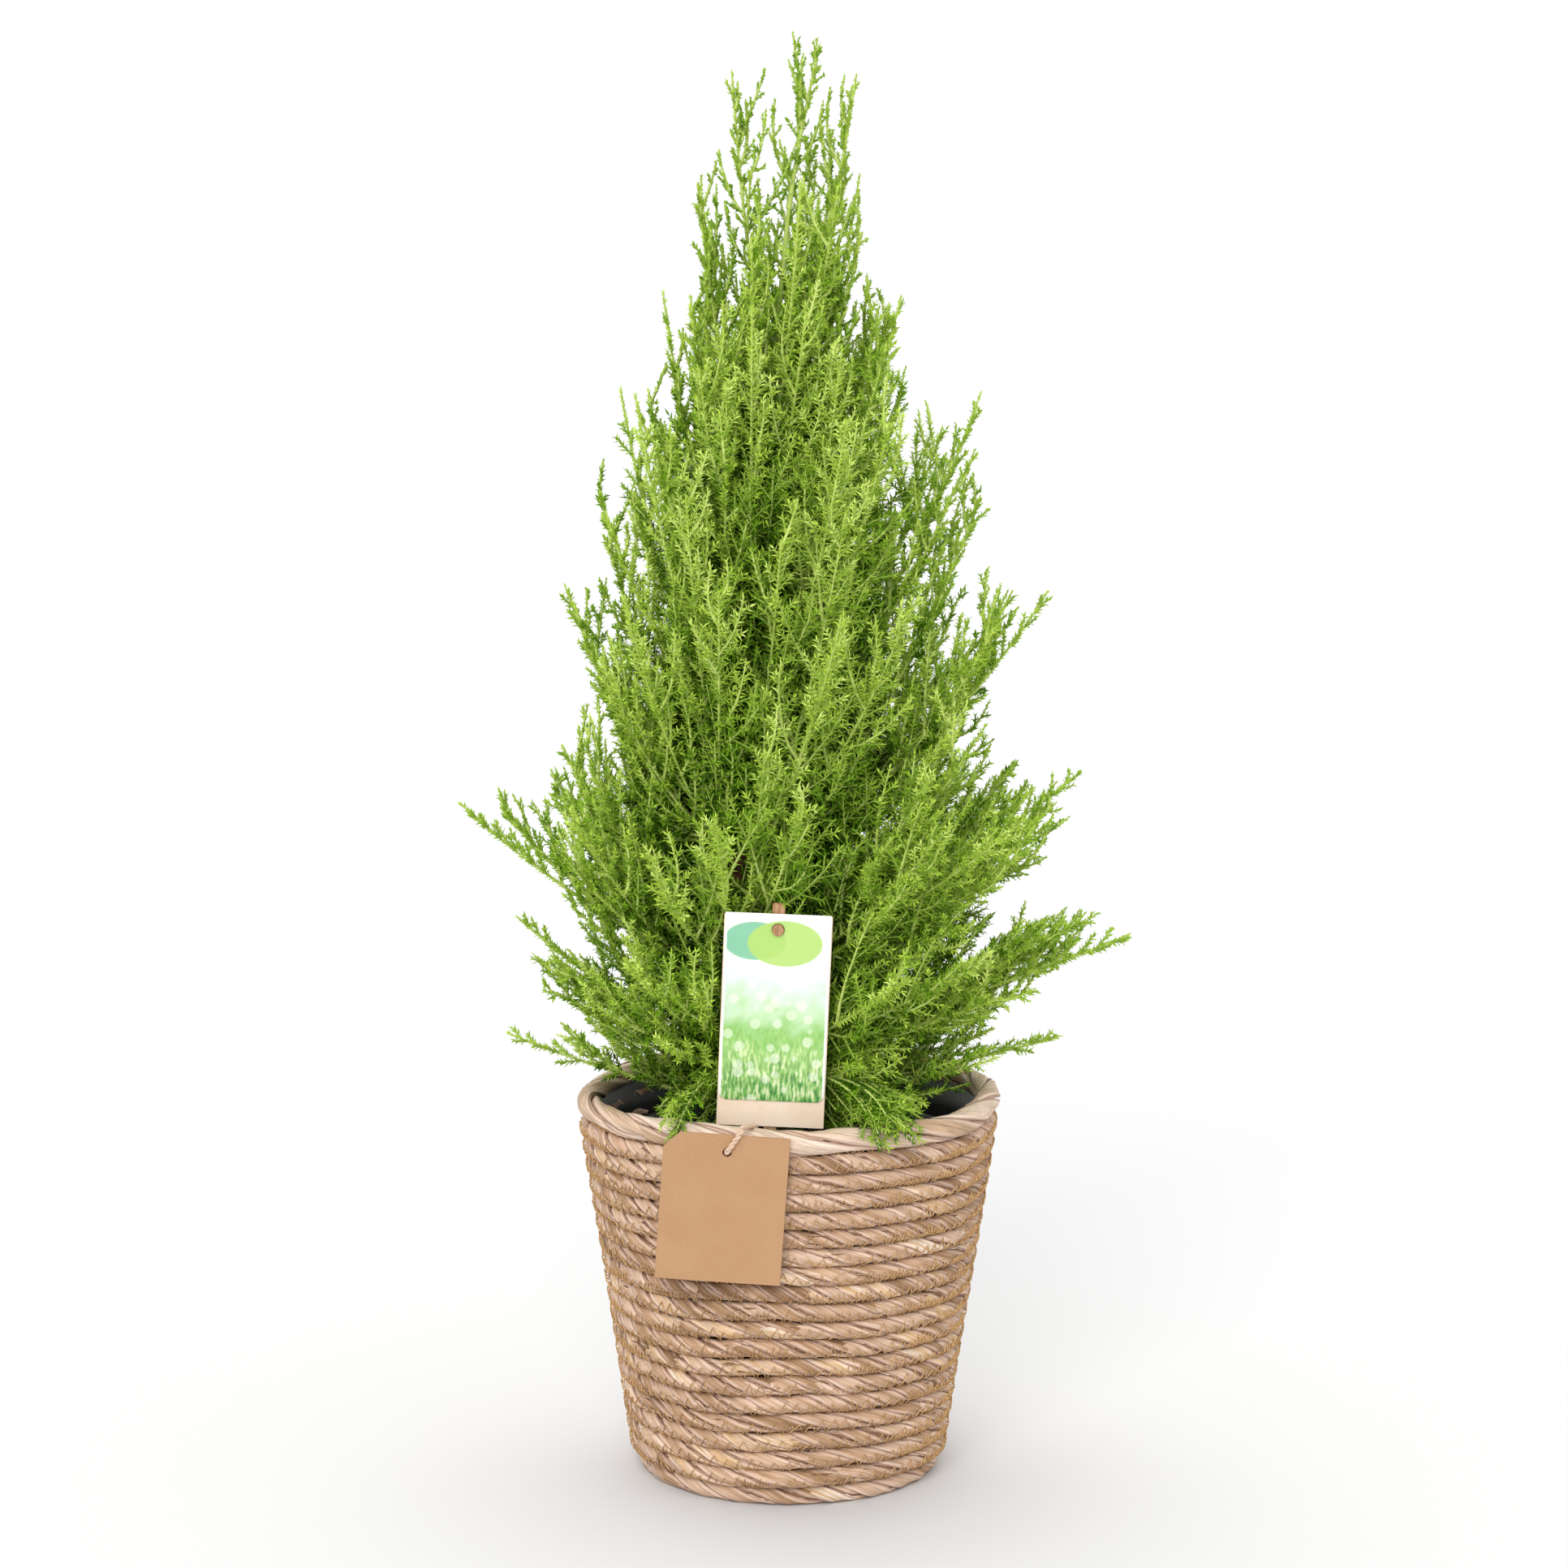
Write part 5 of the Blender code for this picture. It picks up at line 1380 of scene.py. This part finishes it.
def plate(name, outline, hole, thick, place, material):
    """A thin board with a round hole and softened edges, its back at y = 0 of its place."""
    bm = bmesh.new()
    rings = [outline]
    if hole:
        x, z, radius = hole
        rings.append([(x + radius * math.cos(k * math.pi / 16.0),
                       z + radius * math.sin(k * math.pi / 16.0)) for k in range(32)])
    edges = []
    for ring in rings:
        vertices = [bm.verts.new((x, 0.0, z)) for x, z in ring]
        edges += [bm.edges.new((vertices[k], vertices[(k + 1) % len(vertices)]))
                  for k in range(len(vertices))]
    bmesh.ops.triangle_fill(bm, edges=edges, use_beauty=True)
    bmesh.ops.recalc_face_normals(bm, faces=bm.faces)
    grown = bmesh.ops.extrude_face_region(bm, geom=list(bm.faces))
    moved = [v for v in grown["geom"] if isinstance(v, bmesh.types.BMVert)]
    bmesh.ops.translate(bm, verts=moved, vec=(0.0, -thick, 0.0))
    bmesh.ops.recalc_face_normals(bm, faces=bm.faces)
    sharp = [e for e in bm.edges if len(e.link_faces) == 2 and e.calc_face_angle() > 1.0]
    bmesh.ops.bevel(bm, geom=sharp, offset=thick * 0.22, segments=2, affect="EDGES")
    bm.transform(place)
    mesh = bpy.data.meshes.new(name)
    bm.to_mesh(mesh)
    bm.free()
    return add_piece(name, mesh, material)


def build_card(printed, kraft, wood):
    """The printed card and its backing, on a stick whose peg goes through both."""
    half = CARD_WIDTH / 2.0
    outline = [(-half, 0.0)]
    outline += round_corner(-half + CARD_CORNER, -CARD_HEIGHT + CARD_CORNER, CARD_CORNER, 180.0)
    outline += round_corner(half - CARD_CORNER, -CARD_HEIGHT + CARD_CORNER, CARD_CORNER, 270.0)
    outline += [(half, 0.0)]
    hole = (0.0, -PEG_BELOW_TOP, PEG_RADIUS + GAP)
    card = plate("garden_card", outline, hole, CARD_THICK,
                 card_place(0.0, BACKING_THICK + GAP), printed)
    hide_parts("picture_card")
    half = BACKING_WIDTH / 2.0
    outline = [(-half, -0.001), (-half, -BACKING_HEIGHT), (half, -BACKING_HEIGHT), (half, -0.001)]
    backing = plate("kraft_backing", outline, hole, BACKING_THICK, card_place(0.0, 0.0), kraft)
    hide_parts("card_backing")
    bm = bmesh.new()
    bmesh.ops.create_cube(bm, size=1.0)
    length = STICK_FOOT + STICK_ABOVE
    bmesh.ops.scale(bm, vec=(STICK_WIDTH, STICK_THICK, length), verts=bm.verts)
    behind = -(STICK_THICK / 2.0 + GAP)
    bmesh.ops.bevel(bm, geom=list(bm.edges), offset=0.0005, segments=3, affect="EDGES")
    bm.transform(card_place(-STICK_ABOVE + length / 2.0, behind))
    peg = bmesh.new()
    reach = STICK_THICK / 2.0 + GAP + BACKING_THICK + GAP + CARD_THICK + PEG_OUT
    bmesh.ops.create_cone(peg, cap_ends=True, segments=40, radius1=PEG_RADIUS * 0.96,
                          radius2=PEG_RADIUS, depth=reach)
    bmesh.ops.rotate(peg, matrix=Matrix.Rotation(math.pi / 2.0, 3, "X"), verts=peg.verts)
    rim = [e for e in peg.edges if e.calc_face_angle(0.0) > 1.0]
    bmesh.ops.bevel(peg, geom=rim, offset=0.0006, segments=3, affect="EDGES")
    peg.transform(card_place(PEG_BELOW_TOP, behind + reach / 2.0))
    mesh = bpy.data.meshes.new("peg")
    peg.to_mesh(mesh)
    bm.from_mesh(mesh)
    bpy.data.meshes.remove(mesh)
    peg.free()
    mesh = bpy.data.meshes.new("flat_stick")
    bm.to_mesh(mesh)
    bm.free()
    stick = add_piece("flat_stick", mesh, wood)
    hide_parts("card_stick")


def twine_route():
    """From behind the tag, out through its hole, up over the rim and down inside it."""
    lying = TAG_THICK + TWINE_RADIUS + GAP
    on_tag = ((0.0, 0.0, -0.0030), (0.0, 0.0, 0.0), (0.0002, 0.0004, 0.6 * lying),
              (0.0012, 0.0028, lying + 0.0003), (0.0040, 0.0072, lying), (0.0060, 0.0108, lying),
              (0.0072, 0.0138, 0.0010))
    route = [tag_place(TAG_HOLE.x + x, TAG_HOLE.y + z, forward).translation
             for x, z, forward in on_tag]
    outward = Vector((-0.17, -1.0, 0.0)).normalized()
    centre = outward * (wall_radius(RIM_LOW) + RIM_BULGE - RIM_COIL / 2.0)
    centre.z = BASKET_HEIGHT - RIM_COIL / 2.0
    ride = RIM_COIL / 2.0 + TWINE_RADIUS + 2.0 * GAP
    for turn in (90.0, 125.0, 160.0, 190.0):
        angle = math.radians(turn)
        route.append(centre + ride * math.cos(angle) * outward)
        route[-1].z += ride * math.sin(angle)
    return route


def smooth_route(points, per_span):
    """Points of a smooth curve through the route's own points."""
    found = []
    for k in range(len(points) - 1):
        before = points[max(0, k - 1)]
        start, end = points[k], points[k + 1]
        after = points[min(len(points) - 1, k + 2)]
        for step in range(per_span):
            t = step / per_span
            found.append(0.5 * ((2.0 * start) + (end - before) * t
                                + (2.0 * before - 5.0 * start + 4.0 * end - after) * t * t
                                + (3.0 * start - before - 3.0 * end + after) * t * t * t))
    return np.array(found + [points[-1]])


def build_tag_and_twine(kraft, jute):
    """The blank tag, and a two-ply twine from its hole over the rim."""
    half_x = TAG_WIDTH / 2.0
    half_z = TAG_HEIGHT / 2.0
    outline = [(-half_x, -half_z), (half_x, -half_z), (half_x, half_z),
               (-half_x + TAG_CUT_CORNER, half_z), (-half_x, half_z - TAG_CUT_CORNER)]
    tag = plate("blank_tag", outline, (TAG_HOLE.x, TAG_HOLE.y, TAG_HOLE_RADIUS), TAG_THICK,
                tag_place(0.0, 0.0, 0.0), kraft)
    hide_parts("kraft_tag")
    route = smooth_route(twine_route(), 9)
    tangents = unit(np.gradient(route, axis=0))
    reference = np.array((1.0, 0.0, 0.0))
    across = unit(reference - tangents * (tangents @ reference)[:, None])
    over = np.cross(tangents, across)
    way = way_along(route)
    parts = []
    for ply in range(2):
        turn = way / PLY_TURN * 2.0 * math.pi + ply * math.pi
        path = route + PLY_OFF * (np.cos(turn)[:, None] * across + np.sin(turn)[:, None] * over)
        parts.append(tubes(path[None], np.full((1, len(path)), PLY_RADIUS), 10))
    rng = np.random.default_rng(61)
    for _ in range(HAIRS):
        k = int(rng.integers(4, len(route) - 4))
        heading = unit(rng.normal(0.0, 1.0, 3) + 0.8 * tangents[k])
        hair = bent_path(route[k], heading, rng.uniform(0.0015, 0.0034), 0.2, 4)
        parts.append(tubes(hair[None], np.linspace(0.00009, 0.00004, 4)[None], 3))
    vertices, quads = joined(parts)
    twine = mesh_piece("jute_twine", vertices, quads, jute)
    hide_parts("twine")


# Studio

def build_studio():
    """Camera, white world, two lamps and a pale floor, as the photo has them."""
    camera_data = bpy.data.cameras.new("camera")
    camera_data.lens = 93.69
    camera_data.sensor_width = 36.0
    camera_data.clip_start = 0.05
    camera_data.clip_end = 60.0
    camera = bpy.data.objects.new("camera", camera_data)
    camera.location = (-0.0025, -2.2, 0.6877)
    camera.rotation_euler = (math.radians(90.0 - 7.96), 0.0, 0.0)
    bpy.context.scene.collection.objects.link(camera)
    bpy.context.scene.camera = camera
    world = bpy.data.worlds.new("studio")
    world.use_nodes = True
    background = world.node_tree.nodes["Background"]
    background.inputs["Color"].default_value = (1.0, 1.0, 1.0, 1.0)
    background.inputs["Strength"].default_value = 1.0
    bpy.context.scene.world = world
    bpy.context.scene.view_settings.view_transform = "Standard"
    # Wide lamps far away: the floor is lit the same all over, so that it runs into the backdrop
    for name, place, spread, strength in (
            ("key", (-0.45, -2.4, 1.4), 35.0, 1.5),
            ("top", (-0.1, 0.9, 2.6), 50.0, 1.1)):
        light = bpy.data.lights.new(name, "SUN")
        light.angle = math.radians(spread)
        light.energy = strength
        lamp = bpy.data.objects.new(name, light)
        lamp.location = place
        aim = Vector((0.0, 0.0, 0.0)) - lamp.location
        lamp.rotation_euler = aim.to_track_quat("-Z", "Y").to_euler()
        bpy.context.scene.collection.objects.link(lamp)
    mesh = bpy.data.meshes.new("floor")
    mesh.from_pydata([(-30.0, -30.0, 0.0), (30.0, -30.0, 0.0), (30.0, 30.0, 0.0),
                      (-30.0, 30.0, 0.0)], [], [(0, 1, 2, 3)])
    material, _, shader = new_material("studio_floor", 1.0)
    shader.inputs["Base Color"].default_value = linear("#d4d4d4")
    shader.inputs["Specular IOR Level"].default_value = 0.0
    mesh.materials.append(material)
    floor = bpy.data.objects.new("floor", mesh)
    bpy.context.scene.collection.objects.link(floor)


build_studio()
build_foliage()
build_trunk(bpy.data.materials["young_bark"], bpy.data.materials["twig_bark"])
build_basket()
build_stitches(fibre_material("stitch_thread", "#a06f3c", "#e6bf88"))
build_fibres(fibre_material("loose_fibre", "#c39f73", "#e6cba4"))
build_pot_and_soil(plastic_material(), soil_material())
kraft = kraft_material("kraft_board", "#b18862", "#b48c66")
build_card(print_material(), kraft_material("kraft_backing", "#fae0c4", "#ffebd4"),
           stick_material())
build_tag_and_twine(kraft, fibre_material("jute", "#bd9b80", "#e6ccb6", 1500.0))
